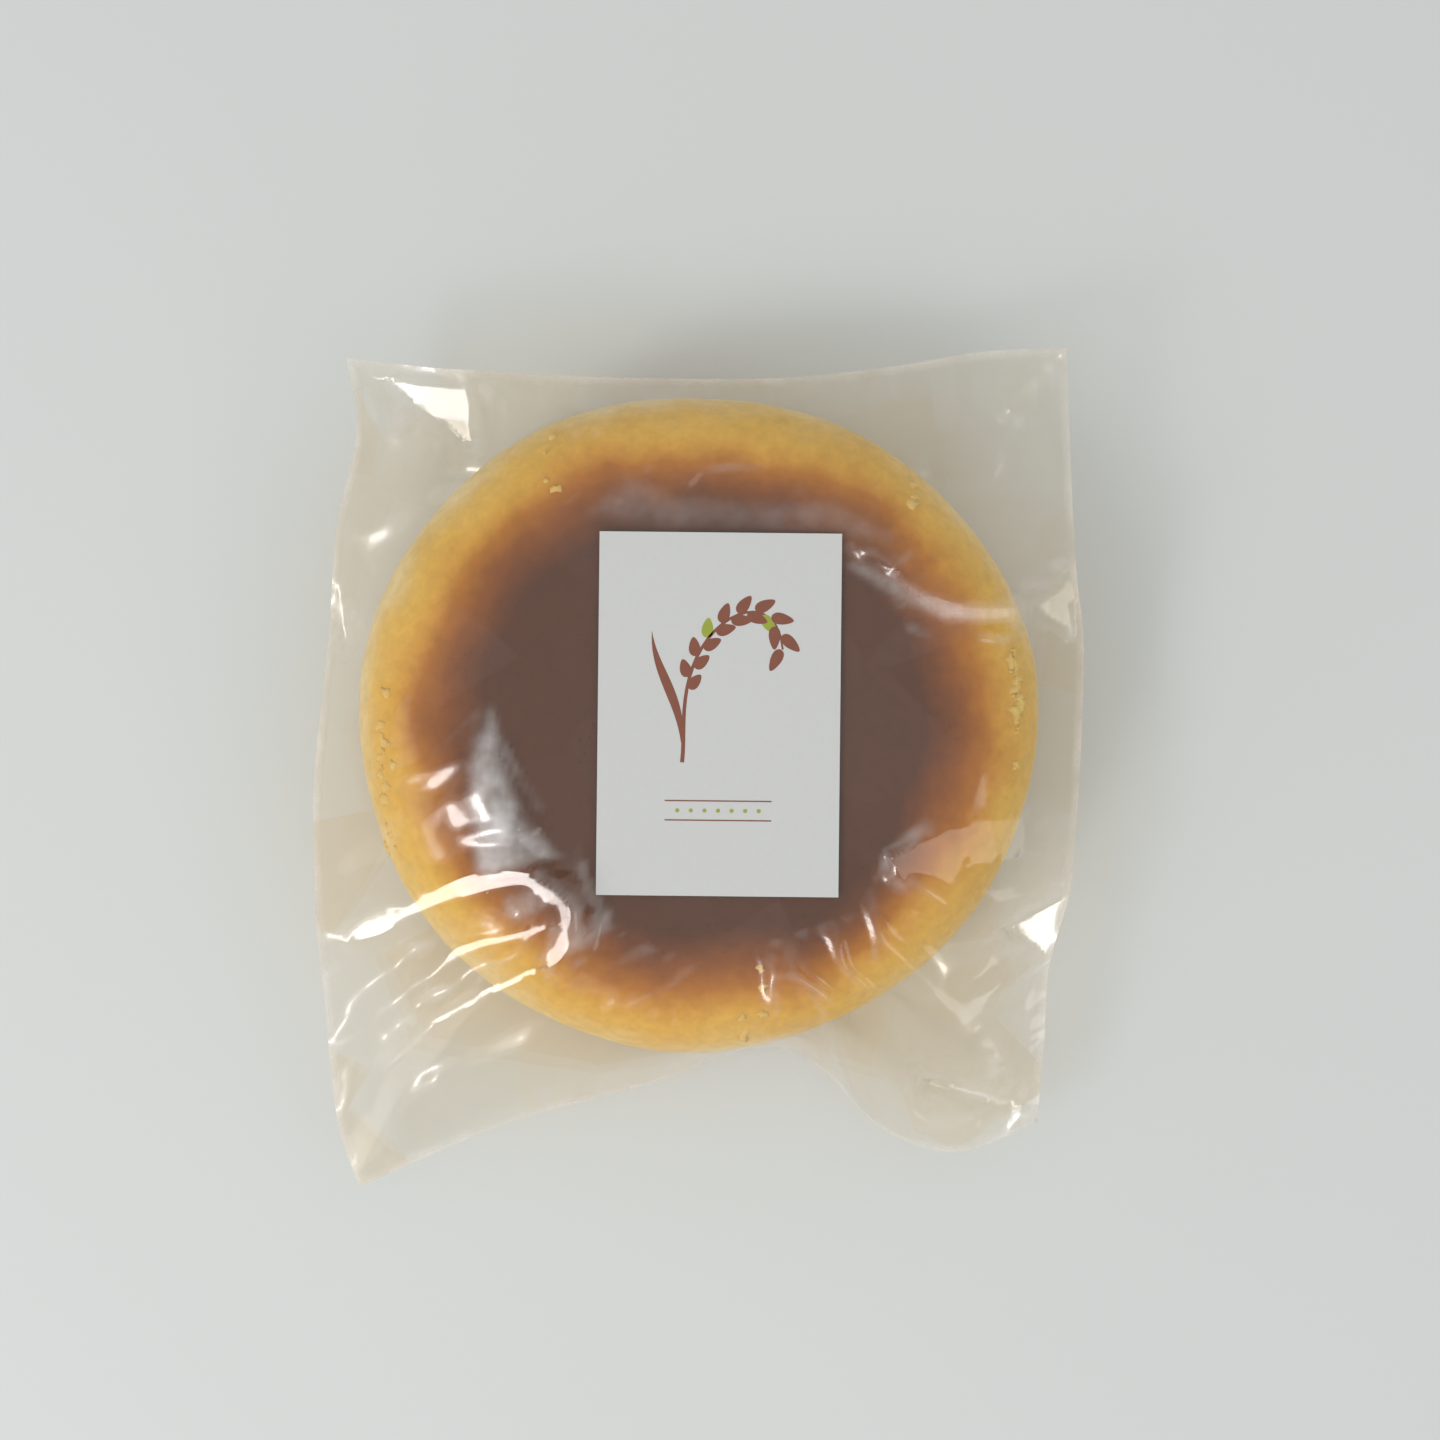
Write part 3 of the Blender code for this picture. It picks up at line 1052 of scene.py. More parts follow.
@dataclass
class FilmSheet:
    """One sheet of the bag, relaxed over the cake as thin film that bends but hardly stretches.

    The sheet starts taut from the bag's edge with its creases raised. It is then given a little
    length to spare, more near the edge, where a flat bag round a thick cake has film to spare.
    """

    cake: CakeForm
    edge: BagEdge
    sheet: Sheet
    stand_off_mm: float = 0.4
    clearance_mm: float = 0.05
    hold_width_mm: float = 1.5
    cling_mm: float = 3.0
    skirt_mm: float = 3.5
    drawn_share: float = 0.85
    parting_mm: float = 2.5
    flat_mm: Pair = (181.0, 178.0)
    flat_share: float = 0.09
    slack: float = 0.001
    shake_mm: float = 0.05
    stiffness: float = 0.06
    sink_mm: float = 0.001
    stages: tuple[tuple[int, int], ...] = ((40, 160), (80, 130), (160, 110))
    rows_per_column: float = 1.1
    seed: int = 5
    # Creases and edge get pale marks, partly handling white and partly painted highlight
    creased_shares: Pair = (0.84, 0.985)
    crease_wear_and_sheen: float = 0.28
    edge_wear_and_sheen: float = 0.6
    edge_rings: float = 2.0
    points: np.ndarray = field(default_factory=lambda: np.zeros((0, 0, 3)))
    held: np.ndarray = field(default_factory=lambda: np.zeros((0, 0)))
    middle: np.ndarray = field(default_factory=lambda: np.zeros((0, 0)))
    rest: dict[str, np.ndarray] = field(default_factory=dict)

    def taut(self, x: np.ndarray, y: np.ndarray) -> np.ndarray:
        """Finds the height of film drawn straight from the bag's edge onto the cake.

        Args:
            x: Places in millimetres.
            y: Places in millimetres.

        Returns:
            The film's height in millimetres.
        """
        angle = np.arctan2(y, x)
        turns, reach, level = self.edge.outline()
        radius = self.cake.radius(angle)
        if self.sheet is Sheet.OVER:
            rounding = self.cake.shoulder_mm + self.stand_off_mm
            centre = radius - self.cake.shoulder_mm
            lift = self.cake.height_mm - self.cake.shoulder_mm
        else:
            rounding = self.cake.base_rounding_mm
            centre = radius - self.cake.base_inset_mm - rounding
            lift = rounding
        rim_out = np.interp(angle, turns, reach) - centre
        rim_up = (np.interp(angle, turns, level) - lift) * self.sheet.value
        swing = np.arccos(np.clip(rounding / np.hypot(rim_out, rim_up), -1, 1))
        leave = np.arctan2(rim_up, rim_out) + swing
        leave_out, leave_up = rounding * np.cos(leave), rounding * np.sin(leave)
        out = np.hypot(x, y) - centre
        on_round = np.sqrt(np.clip(rounding**2 - np.clip(out, 0, rounding) ** 2, 0, None))
        share = np.clip((out - leave_out) / np.maximum(rim_out - leave_out, 1e-6), 0, 1)
        on_run = leave_up + (rim_up - leave_up) * share
        return lift + self.sheet.value * np.where(out < leave_out, on_round, on_run)

    def start(self, patch: np.ndarray) -> None:
        """Lays the sheet out taut, with its creases and its facets.

        Args:
            patch: The grid of points that fills the bag's edge.
        """
        x, y = patch[..., 0], patch[..., 1]
        height = self.taut(x, y)
        creases = FOLDS if self.sheet is Sheet.OVER else KEELS
        height = height + sum(fold.height(x, y) for fold in creases)
        if self.sheet is Sheet.OVER:
            for facet in FACETS:
                depth, _, _ = to_outline(x, y, facet.corners)
                share = np.clip(1 + depth / self.skirt_mm, 0, 1)
                height = height + share * (facet.plane(x, y) - height)
        self.points = np.stack([x, y, height], axis=-1)

    def refine(self) -> None:
        """Doubles the grid."""
        coarse = self.points
        rows, columns = coarse.shape[:2]
        fine = np.zeros((2 * rows - 1, 2 * columns - 1, 3))
        fine[::2, ::2] = coarse
        fine[1::2, ::2] = (coarse[1:] + coarse[:-1]) / 2
        fine[:, 1::2] = (fine[:, 2::2] + fine[:, :-2:2]) / 2
        self.points = fine

    def hold(self, patch: np.ndarray) -> None:
        """Fixes the edge and the upper sheet's flats, and finds what parts the two sheets.

        Args:
            patch: The grid of points that fills the bag's edge.
        """
        border = np.ones(patch.shape[:2], bool)
        border[1:-1, 1:-1] = False
        self.points[border] = patch[border]
        up, over = (np.sin(np.linspace(0, np.pi, count)) for count in patch.shape[:2])
        bulge = np.outer(up, over)
        self.middle = patch[..., 2] - self.parting_mm * np.sqrt(bulge)
        free = np.where(border, 0.0, 1.0)
        if self.sheet is Sheet.OVER:
            free = np.minimum(free, self.press())
        self.held = free[..., None]

    def press(self) -> np.ndarray:
        """Lays the film flat on the cake and in its facets, with grid points along their outlines.

        Returns:
            How free each point is left, from 0 to 1.
        """
        x, y, z = (self.points[..., axis] for axis in range(3))
        depth, _, _ = to_outline(x, y, CLING)
        clings = eased(np.clip(0.5 + depth / self.cling_mm, 0, 1))
        z += clings * (np.maximum(self.cake.top(x, y, self.stand_off_mm), 0.0) - z)
        free = 1 - eased(np.maximum(depth, 0) / self.hold_width_mm)
        inner = np.zeros(x.shape, bool)
        inner[1:-1, 1:-1] = True
        reach = 0.5 * self.flat_mm[0] / (x.shape[1] - 1)
        for facet in FACETS:
            depth, near_x, near_y = to_outline(x, y, facet.corners)
            drawn = np.where(inner & (np.abs(depth) < reach), self.drawn_share, 0.0)
            x += drawn * (near_x - x)
            y += drawn * (near_y - y)
            within = inner & (depth > -reach)
            skin = self.cake.top(x, y, self.stand_off_mm)
            z[...] = np.where(within, np.maximum(facet.plane(x, y), skin), z)
            free = np.where(within, 0.0, free)
        return free

    def measure(self) -> None:
        """Takes each link's rest length from the sheet as it is, with length to spare."""
        grid = self.points
        rows, columns = grid.shape[0] - 1, grid.shape[1] - 1
        step_x, step_y = self.flat_mm[0] / columns, self.flat_mm[1] / rows
        slant = math.hypot(step_x, step_y)
        links = {
            "x": (grid[:, 1:] - grid[:, :-1], step_x),
            "y": (grid[1:] - grid[:-1], step_y),
            "rising": (grid[1:, 1:] - grid[:-1, :-1], slant),
            "falling": (grid[1:, :-1] - grid[:-1, 1:], slant),
        }
        for name, (link, flat) in links.items():
            length = np.linalg.norm(link, axis=-1)
            spare = np.maximum(flat - length, 0.0) * self.flat_share
            self.rest[name] = (length + spare) * (1 + self.slack)

    def draw_together(self, ends: tuple[Any, Any], rest: np.ndarray) -> None:
        """Moves the two ends of each link so that the link has its rest length.

        Args:
            ends: Index of the near and of the far points in the grid.
            rest: The links' rest lengths.
        """
        near, far = self.points[ends[0]], self.points[ends[1]]
        near_free, far_free = self.held[ends[0]], self.held[ends[1]]
        link = far - near
        length = np.linalg.norm(link, axis=-1, keepdims=True)
        free = np.maximum(near_free + far_free, 1e-6)
        push = link * ((length - rest[..., None]) / np.maximum(length, 1e-9) / free)
        near += push * near_free
        far -= push * far_free

    def relax(self, count: int) -> None:
        """Relaxes the sheet.

        Args:
            count: How many rounds it gets.
        """
        rows, columns = self.points.shape[:2]
        rounds = []
        for first in (0, 1):
            across = (columns - first) // 2
            up = (rows - first) // 2
            near_x = slice(first, first + 2 * across - 1, 2)
            far_x = slice(first + 1, first + 2 * across, 2)
            near_y = slice(first, first + 2 * up - 1, 2)
            far_y = slice(first + 1, first + 2 * up, 2)
            whole, low, high = slice(None), slice(None, -1), slice(1, None)
            rounds += [
                (((whole, near_x), (whole, far_x)), self.rest["x"][:, near_x]),
                (((near_y, whole), (far_y, whole)), self.rest["y"][near_y]),
                (((near_y, low), (far_y, high)), self.rest["rising"][near_y]),
                (((near_y, high), (far_y, low)), self.rest["falling"][near_y]),
            ]
        for _ in range(count):
            self.points[..., 2] -= self.sink_mm * self.held[..., 0]
            for ends, rest in rounds:
                self.draw_together(ends, rest)
            self.straighten()
            self.keep_clear()

    def straighten(self) -> None:
        """Takes out sharp bends, as the film's own stiffness does."""
        grid = self.points
        bend = np.zeros_like(grid)
        around = grid[2:, 1:-1] + grid[:-2, 1:-1] + grid[1:-1, 2:] + grid[1:-1, :-2]
        bend[1:-1, 1:-1] = around / 4 - grid[1:-1, 1:-1]
        turn = np.zeros_like(grid)
        around = bend[3:-1, 2:-2] + bend[1:-3, 2:-2] + bend[2:-2, 3:-1] + bend[2:-2, 1:-3]
        turn[2:-2, 2:-2] = around / 4 - bend[2:-2, 2:-2]
        grid -= self.stiffness * turn * self.held

    def keep_clear(self) -> None:
        """Keeps the film off the cake and the floor, and on its own side of the other sheet."""
        height = self.points[..., 2]
        if self.sheet is Sheet.OVER:
            gap = self.stand_off_mm - self.clearance_mm
            skin = self.cake.top(self.points[..., 0], self.points[..., 1], gap)
            kept = np.maximum(height, np.maximum(skin, self.middle))
        else:
            kept = np.maximum(np.minimum(height, self.middle), self.clearance_mm)
        self.points[..., 2] = np.where(self.held[..., 0] > 0, kept, height)

    def settle(self, quick: bool) -> np.ndarray:
        """Drapes and relaxes the sheet, coarse grid first.

        Args:
            quick: Whether to leave the relaxing out.

        Returns:
            The sheet's grid of points in millimetres.
        """
        shaken = np.random.default_rng(self.seed)
        for stage, (columns, count) in enumerate(self.stages):
            patch = self.edge.patch(columns, int(columns * self.rows_per_column))
            if stage == 0:
                self.start(patch)
            else:
                self.refine()
            self.hold(patch)
            self.measure()
            self.points += shaken.normal(0, self.shake_mm, self.points.shape) * self.held
            self.relax(0 if quick else count)
        return self.points

    def whitening_and_sheen(self) -> np.ndarray:
        """Finds the film's pale marks at its sharp bends and its edge, which are partly white from
        handling and partly painted highlight, and in its patches of painted sheen.

        Returns:
            From 0 to 1 for each point of the grid.
        """
        grid = self.points
        rows, columns = grid.shape[:2]
        across = grid[1:-1, 2:] - grid[1:-1, :-2]
        along = grid[2:, 1:-1] - grid[:-2, 1:-1]
        normal = np.cross(across, along)
        normal /= np.maximum(np.linalg.norm(normal, axis=-1, keepdims=True), 1e-9)
        around = grid[2:, 1:-1] + grid[:-2, 1:-1] + grid[1:-1, 2:] + grid[1:-1, :-2]
        bend = np.abs(((around / 4 - grid[1:-1, 1:-1]) * normal).sum(axis=-1))
        bend[1:-1] = (bend[2:] + 2 * bend[1:-1] + bend[:-2]) / 4
        bend[:, 1:-1] = (bend[:, 2:] + 2 * bend[:, 1:-1] + bend[:, :-2]) / 4
        low, high = np.quantile(bend, self.creased_shares)
        wear_and_sheen = np.zeros((rows, columns))
        creased = np.clip((bend - low) / max(high - low, 1e-6), 0, 1)
        wear_and_sheen[1:-1, 1:-1] = creased * self.crease_wear_and_sheen
        up, over = np.arange(rows)[:, None], np.arange(columns)[None, :]
        ring = np.minimum(np.minimum(up, rows - 1 - up), np.minimum(over, columns - 1 - over))
        wear_and_sheen = np.maximum(wear_and_sheen, self.edge_wear_and_sheen * np.clip(1 - ring / self.edge_rings, 0, 1))
        if self.sheet is Sheet.OVER:
            for veil in PAINTED_SHEENS:
                wear_and_sheen = np.maximum(wear_and_sheen, veil.sheen_and_haze(grid[..., 0], grid[..., 1]))
        return wear_and_sheen


@dataclass
class FilmBag:
    """The bag: two sheets of film joined at its edge."""

    cake: CakeForm
    edge: BagEdge
    film: ClearFilm = field(default_factory=ClearFilm)

    def build(self) -> bpy.types.Object:
        """Relaxes the two sheets and joins them.

        Returns:
            The bag as one closed mesh.
        """
        sheets = [FilmSheet(self.cake, self.edge, sheet) for sheet in Sheet]
        over, under = (sheet.settle(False) for sheet in sheets)
        wear_and_sheen = np.concatenate([sheet.whitening_and_sheen().ravel() for sheet in sheets])
        rows, columns = over.shape[:2]
        count = rows * columns
        numbers = np.arange(count).reshape(rows, columns)
        beneath = numbers + count
        beneath[0], beneath[-1] = numbers[0], numbers[-1]
        beneath[:, 0], beneath[:, -1] = numbers[:, 0], numbers[:, -1]
        used = np.unique(np.concatenate([numbers.ravel(), beneath.ravel()]))
        renumbered = np.zeros(2 * count, int)
        renumbered[used] = np.arange(len(used))
        points = np.vstack([over.reshape(-1, 3), under.reshape(-1, 3)])[used] * MM
        faces = []
        for grid, turned in ((renumbered[numbers], False), (renumbered[beneath], True)):
            quads = np.stack(
                [grid[:-1, :-1], grid[:-1, 1:], grid[1:, 1:], grid[1:, :-1]], axis=-1
            ).reshape(-1, 4)
            faces.extend((quads[:, ::-1] if turned else quads).tolist())
        bag = mesh_piece("film_bag", points, faces, self.film.build(), "bag")
        # Pale marks per point: handling white, painted highlight and painted sheen for the film
        shade = bag.data.attributes.new(WHITENING_AND_SHEEN, "FLOAT", "POINT")
        shade.data.foreach_set("value", wear_and_sheen[used])
        edge = np.concatenate([numbers[0], numbers[-1], numbers[:, 0], numbers[:, -1]])
        on_edge = set(renumbered[edge].tolist())
        for line in bag.data.edges:
            line.use_edge_sharp = line.vertices[0] in on_edge and line.vertices[1] in on_edge
        return bag


@dataclass
class Cake:
    """The cake: a low round with a wide soft shoulder, lightly uneven as a sponge bakes."""

    form: CakeForm
    around: int = 360
    top_rings: int = 56
    shoulder_rings: int = 24
    side_rings: int = 16
    base_rings: int = 8
    middle_rings: int = 12
    base_mm: float = 0.1
    smooth_foot_mm: float = 2.0
    turn_mm: Pair = (50.0, 72.0)
    relief_mm: float = 0.28
    relief_wave_mm: float = 9.0
    relief_noise: tuple[float, float, int] = (1.0, 2.2, 3)

    def profile(self, radius: float) -> list[Pair]:
        """Lists distance and height down the cake's section in one direction, in millimetres.

        Args:
            radius: The cake's half width in this direction.

        Returns:
            Points from the middle of the top round to the middle of the base.
        """
        form = self.form
        flat = radius - form.shoulder_mm
        shoulder_level = form.height_mm - form.shoulder_mm
        points = [(flat * ring / self.top_rings, form.height_mm) for ring in range(self.top_rings)]
        for ring in range(self.shoulder_rings + 1):
            angle = math.pi / 2 * (1 - ring / self.shoulder_rings)
            out = flat + form.shoulder_mm * math.cos(angle)
            points.append((out, shoulder_level + form.shoulder_mm * math.sin(angle)))
        foot = radius - form.base_inset_mm
        for ring in range(1, self.side_rings + 1):
            share = ring / self.side_rings
            height = shoulder_level + (form.base_rounding_mm - shoulder_level) * share
            points.append((radius + (foot - radius) * share**2, height))
        inner = foot - form.base_rounding_mm
        for ring in range(1, self.base_rings + 1):
            angle = -math.pi / 2 * ring / self.base_rings
            height = self.base_mm + form.base_rounding_mm * (1 + math.sin(angle))
            points.append((inner + form.base_rounding_mm * math.cos(angle), height))
        for ring in range(1, self.middle_rings):
            points.append((inner * (1 - ring / self.middle_rings), self.base_mm))
        return points

    def build(self) -> bpy.types.Object:
        """Builds the cake with its browned skin.

        Returns:
            The cake.
        """
        angles = [2 * math.pi * step / self.around for step in range(self.around)]
        radii = self.form.radius(np.array(angles))
        columns = [self.profile(radius) for radius in radii]
        rings = len(columns[0])
        grid = np.zeros((rings, self.around, 3))
        for at, (angle, column) in enumerate(zip(angles, columns)):
            for ring, (out, height) in enumerate(column):
                grid[ring, at] = (out * math.cos(angle), out * math.sin(angle), height)
        self.roughen(grid)
        points = grid[1:].reshape(-1, 3)
        faces = ring_faces(rings - 1, self.around)
        top, base = len(points), len(points) + 1
        last = (rings - 2) * self.around
        for at in range(self.around):
            after = (at + 1) % self.around
            faces.append((top, at, after))
            faces.append((base, last + after, last + at))
        points = np.vstack([points, grid[0, 0], (0, 0, self.base_mm)]) * MM
        skin = SpongeSkin(self.form.half_width_mm * MM, self.form.half_depth_mm * MM)
        return mesh_piece("sponge_cake", points, faces, skin.build())

    def roughen(self, grid: np.ndarray) -> None:
        """Gives the skin the shallow hollows of a baked sponge, none of them proud of its form.

        Args:
            grid: The cake's points in millimetres. Those near its middle sink straight down, and
                those further out than turn_mm sink inwards.
        """
        level, steep = self.turn_mm
        for ring in range(grid.shape[0]):
            for at in range(grid.shape[1]):
                x, y, z = grid[ring, at]
                if z < self.smooth_foot_mm:
                    continue
                place = Vector((x, y, z)) / self.relief_wave_mm
                hollow = 0.5 + 0.5 * noise.fractal(place, *self.relief_noise)
                depth = self.relief_mm * min(max(hollow, 0.0), 1.0)
                length = math.hypot(x, y)
                slope = min(max((length - level) / (steep - level), 0.0), 1.0) ** 2
                if length > 0:
                    grid[ring, at, 0] -= x / length * depth * slope
                    grid[ring, at, 1] -= y / length * depth * slope
                grid[ring, at, 2] -= depth * (1 - slope)


@dataclass
class Crumbs:
    """Flakes of the cake's paler crumb that cling to its shoulder under the film."""

    form: CakeForm
    clusters: tuple[tuple[float, float, float, int], ...] = (
        (65.8, 13.5, 1.1, 9), (66.6, 9.0, 1.4, 12), (67.0, 4.0, 1.5, 12), (66.6, -0.5, 1.0, 6),
        (44.8, 47.0, 1.5, 5), (67.0, -8.5, 1.2, 4), (-66.0, -6.0, 5.0, 12), (-65.0, -26.0, 3.0, 7),
        (12.0, -65.0, 6.0, 6), (-30.0, 56.0, 5.0, 4),
    )
    smallest_mm: float = 0.5
    largest_mm: float = 2.6
    thick_mm: float = 0.5
    sunk_mm: float = 0.5
    jagged: Pair = (0.35, 1.3)
    uneven: Pair = (0.2, 0.9)
    top_share: float = 0.6
    level_mm: float = 55.0
    steepest: float = 0.99
    streak: Pair = (0.35, 1.0)
    around: int = 9
    seed: int = 11

    def flake(self, place: np.ndarray, size: float, chance: np.random.Generator) -> np.ndarray:
        """Shapes one flake, which lies along the cake's skin.

        Args:
            place: The flake's middle in millimetres.
            size: Its half width in millimetres.
            chance: Where its unevenness comes from.

        Returns:
            Its lower rim, then its upper rim, then its two middles.
        """
        outward = np.array([place[0], place[1], 0.0])
        outward /= np.linalg.norm(outward)
        past = np.hypot(place[0], place[1]) - self.level_mm
        lean = min(max(past / self.form.shoulder_mm, 0.0), self.steepest)
        normal = outward * lean + np.array([0, 0, math.sqrt(1 - lean**2)])
        side = np.cross(normal, outward + (0, 0, 0.3))
        side /= np.linalg.norm(side)
        down = np.cross(normal, side)
        angle = np.linspace(0, 2 * math.pi, self.around, endpoint=False)
        reach = size * chance.uniform(*self.jagged, self.around)[:, None]
        rim = np.cos(angle)[:, None] * side * reach + np.sin(angle)[:, None] * down * reach
        low = place + rim - normal * self.sunk_mm
        rise = self.thick_mm * chance.uniform(*self.uneven, self.around)[:, None]
        high = place + self.top_share * rim + normal * rise
        middles = [place - normal * self.sunk_mm, place + normal * self.thick_mm]
        return np.vstack([low, high, middles])

    def build(self) -> bpy.types.Object:
        """Scatters the flakes in their clusters.

        Returns:
            All the flakes as one mesh.
        """
        chance = np.random.default_rng(self.seed)
        points: list[np.ndarray] = []
        faces: list[tuple[int, ...]] = []
        count = self.around
        for x, y, spread, number in self.clusters:
            for _ in range(number):
                there = np.array([x, y]) + chance.normal(0, spread, 2) * self.streak
                top = self.form.top(there[:1], there[1:], 0.0)[0]
                spare = self.largest_mm - self.smallest_mm
                size = self.smallest_mm + spare * chance.random() ** 2
                if top < 0:
                    continue
                first = len(points) * (2 * count + 2)
                points.append(self.flake(np.array([*there, top]), size, chance))
                for at in range(count):
                    here, after = first + at, first + (at + 1) % count
                    faces.append((here, after, after + count, here + count))
                    faces.append((after, here, first + 2 * count))
                    faces.append((here + count, after + count, first + 2 * count + 1))
        skin = CrumbFlake().build()
        return mesh_piece("crumbs", np.vstack(points) * MM, faces, skin)


@dataclass
class Label:
    """The label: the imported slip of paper, printed with an ear of rice over two fine rules."""

    node: str = "label"
    turn: float = math.radians(-0.6)
    ink_mm: float = 0.03
    stem: tuple[Pair, ...] = (
        (-7.5, -10.0), (-7.3, 0.0), (-5.2, 10.0), (0.0, 18.5), (8.0, 21.0), (13.0, 13.5),
    )
    blade: tuple[Pair, ...] = (
        (-7.5, -6.0), (-9.3, 2.5), (-12.2, 9.5), (-14.0, 17.0),
    )
    bare: int = 7
    grains: int = 17
    grain_mm: Pair = (5.0, 2.3)
    grain_lean: float = 0.55
    grain_taper: float = 0.35
    smallest_grain: float = 0.75
    grain_points: int = 20
    off_stem_mm: float = 0.35
    green_grains: tuple[int, ...] = (5, 12)
    stem_mm: Pair = (0.42, 0.2)
    stem_points: int = 24
    blade_mm: Pair = (0.95, 0.02)
    blade_start: float = 0.25
    blade_points: int = 20
    rules_mm: tuple[float, ...] = (-18.0, -22.0)
    rule_mm: Pair = (22.0, 0.25)
    dots: int = 7
    dot_points: int = 14
    dot_mm: float = 0.42
    dot_rise_mm: float = 0.12
    dot_row_mm: float = 16.8
    sunk_mm: float = 0.01

    def curve(self, knots: Sequence[Pair], count: int) -> tuple[np.ndarray, np.ndarray]:
        """Runs a smooth curve through some places.

        Args:
            knots: The places.
            count: How many points to give back.

        Returns:
            The points, and the direction at each.
        """
        at = np.linspace(0, len(knots) - 1, count)
        fit = np.polynomial.Polynomial.fit
        degree = min(4, len(knots) - 1)
        place = np.arange(len(knots))
        lines = [fit(place, np.array(knots)[:, axis], degree) for axis in range(2)]
        points = np.stack([line(at) for line in lines], axis=1)
        run = np.stack([line.deriv()(at) for line in lines], axis=1)
        return points, run / np.linalg.norm(run, axis=1, keepdims=True)

    def ribbon(self, knots: Sequence[Pair], widths: np.ndarray) -> np.ndarray:
        """Lays a ribbon along a curve.

        Args:
            knots: The places that the curve runs through.
            widths: The ribbon's half widths along it.

        Returns:
            The ribbon's outline.
        """
        points, run = self.curve(knots, len(widths))
        across = np.stack([-run[:, 1], run[:, 0]], axis=1) * widths[:, None]
        return np.vstack([points + across, (points - across)[::-1]])

    def ear(self) -> list[np.ndarray]:
        """Shapes the ear's grains, which stand to both sides of the stem.

        Returns:
            The outline of each grain.
        """
        points, run = self.curve(self.stem, self.grains + self.bare)
        outlines = []
        turn = np.linspace(0, 2 * math.pi, self.grain_points, endpoint=False)
        long, wide = self.grain_mm
        for number in range(self.grains):
            side = 1 if number % 2 else -1
            spot, way = points[self.bare + number], run[self.bare + number]
            angle = math.atan2(way[1], way[0]) + side * self.grain_lean
            growth = self.smallest_grain + (1 - self.smallest_grain) * number / self.grains
            along = long / 2 * (1 + np.cos(turn)) * growth
            off = wide / 2 * np.sin(turn) * (1 - self.grain_taper * np.cos(turn))
            x = spot[0] + along * math.cos(angle) - off * math.sin(angle)
            y = spot[1] + along * math.sin(angle) + off * math.cos(angle)
            aside = side * self.off_stem_mm * np.array([-way[1], way[0]])
            outlines.append(np.stack([x, y], axis=1) + aside)
        return outlines

    def marks(self) -> tuple[list[np.ndarray], list[np.ndarray]]:
        """Draws what is printed, in millimetres from the label's middle.

        Returns:
            The outlines that are printed brown, and those printed green.
        """
        taper = np.linspace(*self.stem_mm, self.stem_points)
        swing = np.linspace(self.blade_start, math.pi, self.blade_points)
        swell = self.blade_mm[0] * np.sin(swing) + self.blade_mm[1]
        brown = [self.ribbon(self.stem, taper), self.ribbon(self.blade, swell)]
        green = []
        for number, outline in enumerate(self.ear()):
            (green if number in self.green_grains else brown).append(outline)
        turn = np.linspace(0, 2 * math.pi, self.dot_points, endpoint=False)
        half, thick = self.rule_mm[0] / 2, self.rule_mm[1]
        for low in self.rules_mm:
            high = low + thick
            brown.append(np.array([(-half, low), (half, low), (half, high), (-half, high)]))
        dot = self.dot_mm * np.stack([np.cos(turn), np.sin(turn)], axis=1)
        middle = sum(self.rules_mm) / 2 + self.dot_rise_mm
        for x in np.linspace(-self.dot_row_mm / 2, self.dot_row_mm / 2, self.dots):
            green.append(dot + (x, middle))
        return brown, green

    def printed(self, name: str, outlines: Sequence[np.ndarray], ink: OffsetInk) -> None:
        """Lays thin closed patches of ink on the paper.

        Args:
            name: What the piece is called.
            outlines: The patches' outlines in millimetres from the label's middle.
            ink: What they are printed with.
        """
        low, high = (np.array(corner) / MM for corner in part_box(self.node))
        middle = (low + high) / 2
        cos, sin = math.cos(self.turn), math.sin(self.turn)
        points: list[tuple[float, float, float]] = []
        faces: list[tuple[int, ...]] = []
        for number, outline in enumerate(outlines):
            first, count = len(points), len(outline)
            proud = self.ink_mm * (1 + number / len(outlines))
            for level in (high[2] - self.sunk_mm, high[2] + proud):
                for x, y in outline:
                    across, up = cos * x - sin * y, sin * x + cos * y
                    points.append((middle[0] + across, middle[1] + up, level))
            faces.append(tuple(range(first + count - 1, first - 1, -1)))
            faces.append(tuple(range(first + count, first + 2 * count)))
            for at in range(count):
                here, after = first + at, first + (at + 1) % count
                faces.append((here, after, after + count, here + count))
        mesh_piece(name, np.array(points) * MM, faces, ink.build(), smooth=False)

    def build(self) -> None:
        """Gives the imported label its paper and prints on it."""
        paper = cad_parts[self.node]
        paper.data.materials.clear()
        paper.data.materials.append(CoatedPaper().build())
        brown, green = self.marks()
        self.printed("ink_brown", brown, OffsetInk("brown_offset_ink", "#84503f", "#8e5b4a"))
        self.printed("ink_green", green, OffsetInk("green_offset_ink", "#98a43a", "#a6b04e"))
        LOG.info("%s: paper, with %d printed marks", self.node, len(brown) + len(green))


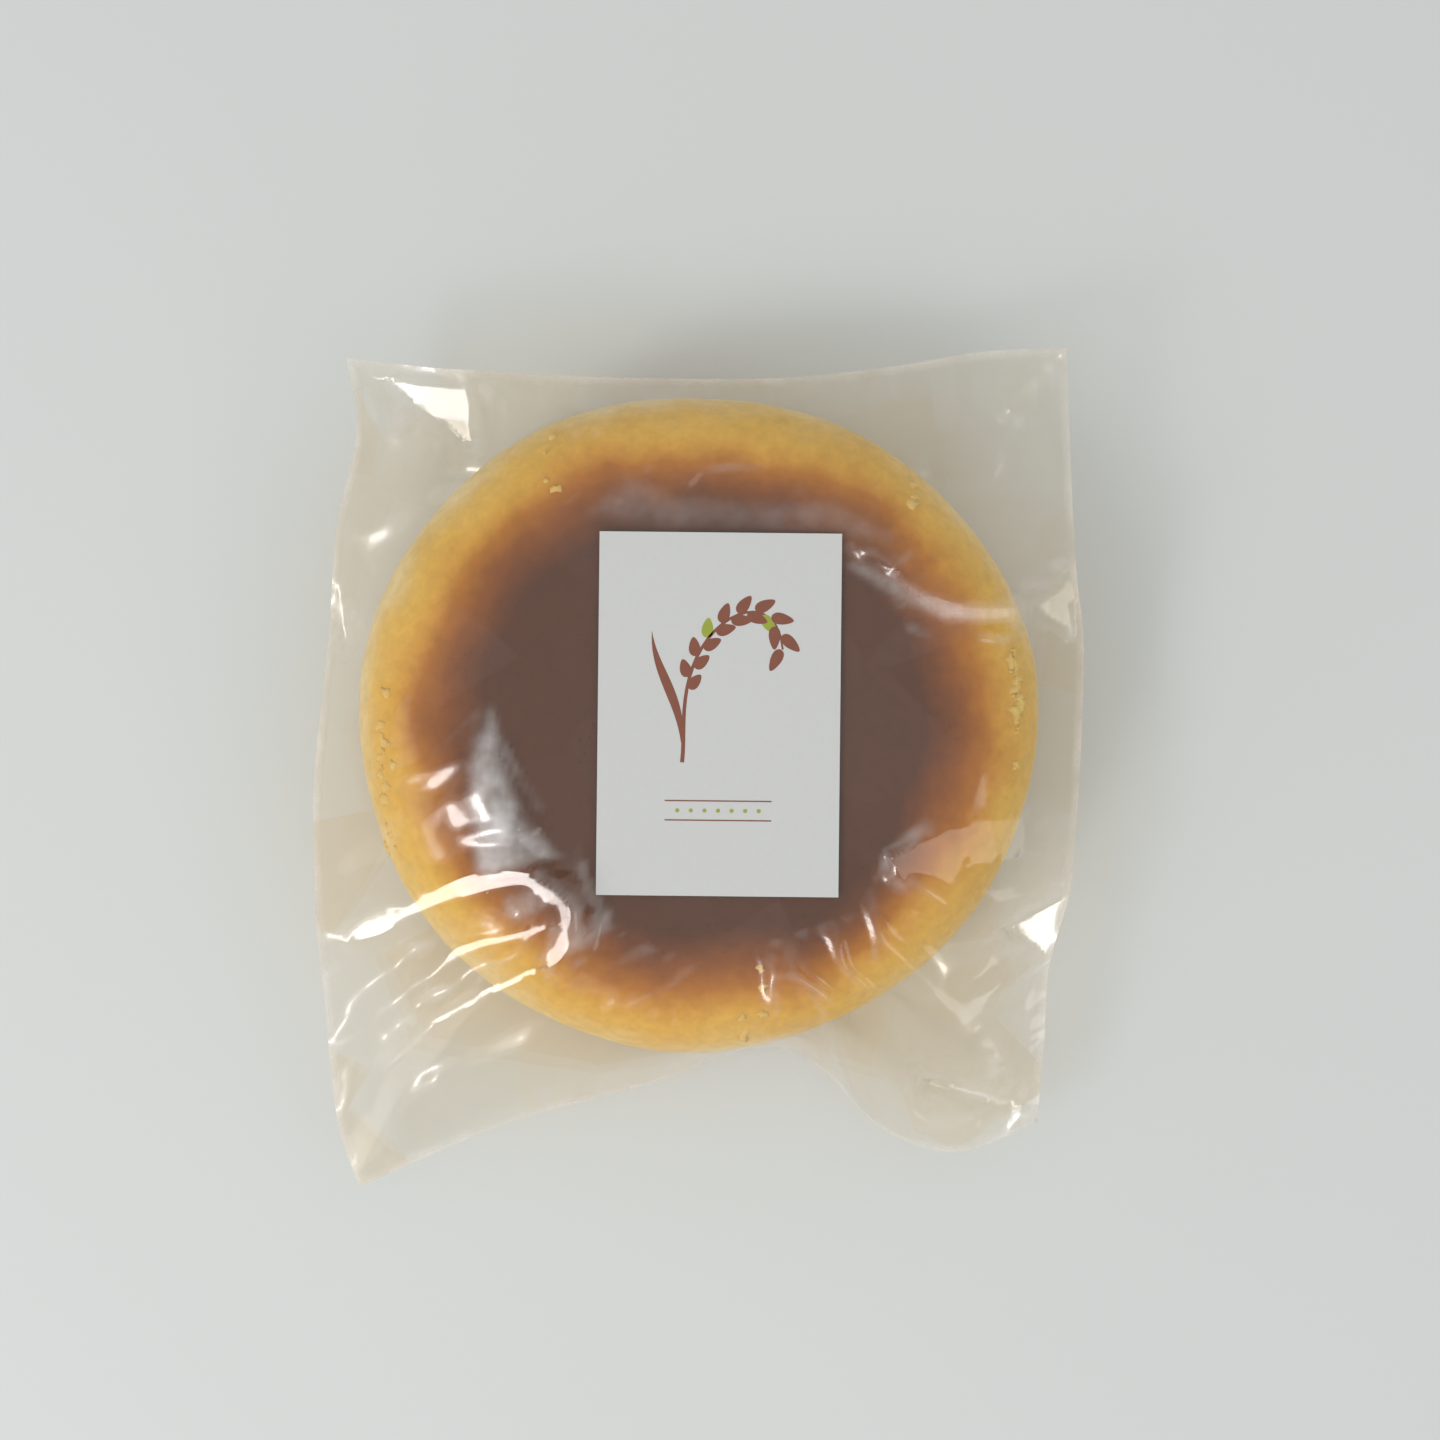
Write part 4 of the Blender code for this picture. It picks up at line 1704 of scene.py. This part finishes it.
@dataclass
class Studio:
    """The floor, the lights and the camera of the photograph."""

    floor_side: float = 3.0
    sky: str = "#f2f4f4"
    sky_strength: float = 0.72
    key_discs: tuple[Pair, ...] = ((0.30, 2.3), (0.58, 1.6), (1.15, 1.5))
    side_discs: tuple[Pair, ...] = ((0.50, 0.8),)
    window_distance: float = 1.2
    key_way: Pair = (217.7, 42.0)
    side_way: Pair = (330.0, 40.0)
    camera_place: tuple[float, float, float] = (4.81 * MM, 0.53 * MM, 0.620)
    lens_mm: float = 70.0
    sensor_mm: float = 36.0

    def floor(self) -> None:
        """Lays a plain pale floor."""
        half = self.floor_side / 2
        mesh = bpy.data.meshes.new("floor")
        corners = [(-half, -half, 0), (half, -half, 0), (half, half, 0), (-half, half, 0)]
        mesh.from_pydata(corners, [], [(0, 1, 2, 3)])
        mesh.materials.append(PaintedBoard().build())
        floor = bpy.data.objects.new("floor", mesh)
        bpy.context.scene.collection.objects.link(floor)

    def window(self, way: Pair, discs: Sequence[Pair]) -> None:
        """Puts up a window, brightest in its middle.

        Args:
            way: Its azimuth and elevation in degrees.
            discs: The size in metres and the power in watts of each disc it is made of.
        """
        azimuth, elevation = (math.radians(turn) for turn in way)
        level = math.cos(elevation)
        toward = Vector((level * math.cos(azimuth), level * math.sin(azimuth), math.sin(elevation)))
        for size, power in discs:
            lamp = bpy.data.lights.new("window", "AREA")
            lamp.shape = "DISK"
            lamp.size = size
            lamp.energy = power
            placed = bpy.data.objects.new("window", lamp)
            placed.location = toward * self.window_distance
            placed.rotation_euler = toward.to_track_quat("Z", "Y").to_euler()
            bpy.context.scene.collection.objects.link(placed)

    def light(self) -> None:
        """Lights a bright room, with its window at the front left and a small one on the right."""
        world = bpy.data.worlds.new("room")
        world.use_nodes = True
        background = world.node_tree.nodes["Background"]
        background.inputs["Color"].default_value = linear(self.sky)
        background.inputs["Strength"].default_value = self.sky_strength
        bpy.context.scene.world = world
        self.window(self.key_way, self.key_discs)
        self.window(self.side_way, self.side_discs)

    def camera(self) -> None:
        """Sets the camera straight above, as in the photograph."""
        data = bpy.data.cameras.new("camera")
        data.lens = self.lens_mm
        data.sensor_width = self.sensor_mm
        data.dof.use_dof = False
        camera = bpy.data.objects.new("camera", data)
        camera.location = self.camera_place
        bpy.context.scene.collection.objects.link(camera)
        bpy.context.scene.camera = camera

    def build(self) -> None:
        """Builds the floor, the lights and the camera."""
        self.camera()
        self.floor()
        self.light()
        bpy.context.scene.view_settings.view_transform = "Standard"
        LOG.info("studio: floor, lights and camera")


def main() -> None:
    """Builds the studio, the cake with its crumbs, the film bag and the label in order."""
    logging.basicConfig(level=logging.INFO, format="%(name)s: %(message)s")
    Studio().build()
    form = CakeForm()
    Cake(form).build()
    Crumbs(form).build()
    FilmBag(form, BagEdge()).build()
    Label().build()


if __name__ == "__main__":
    main()
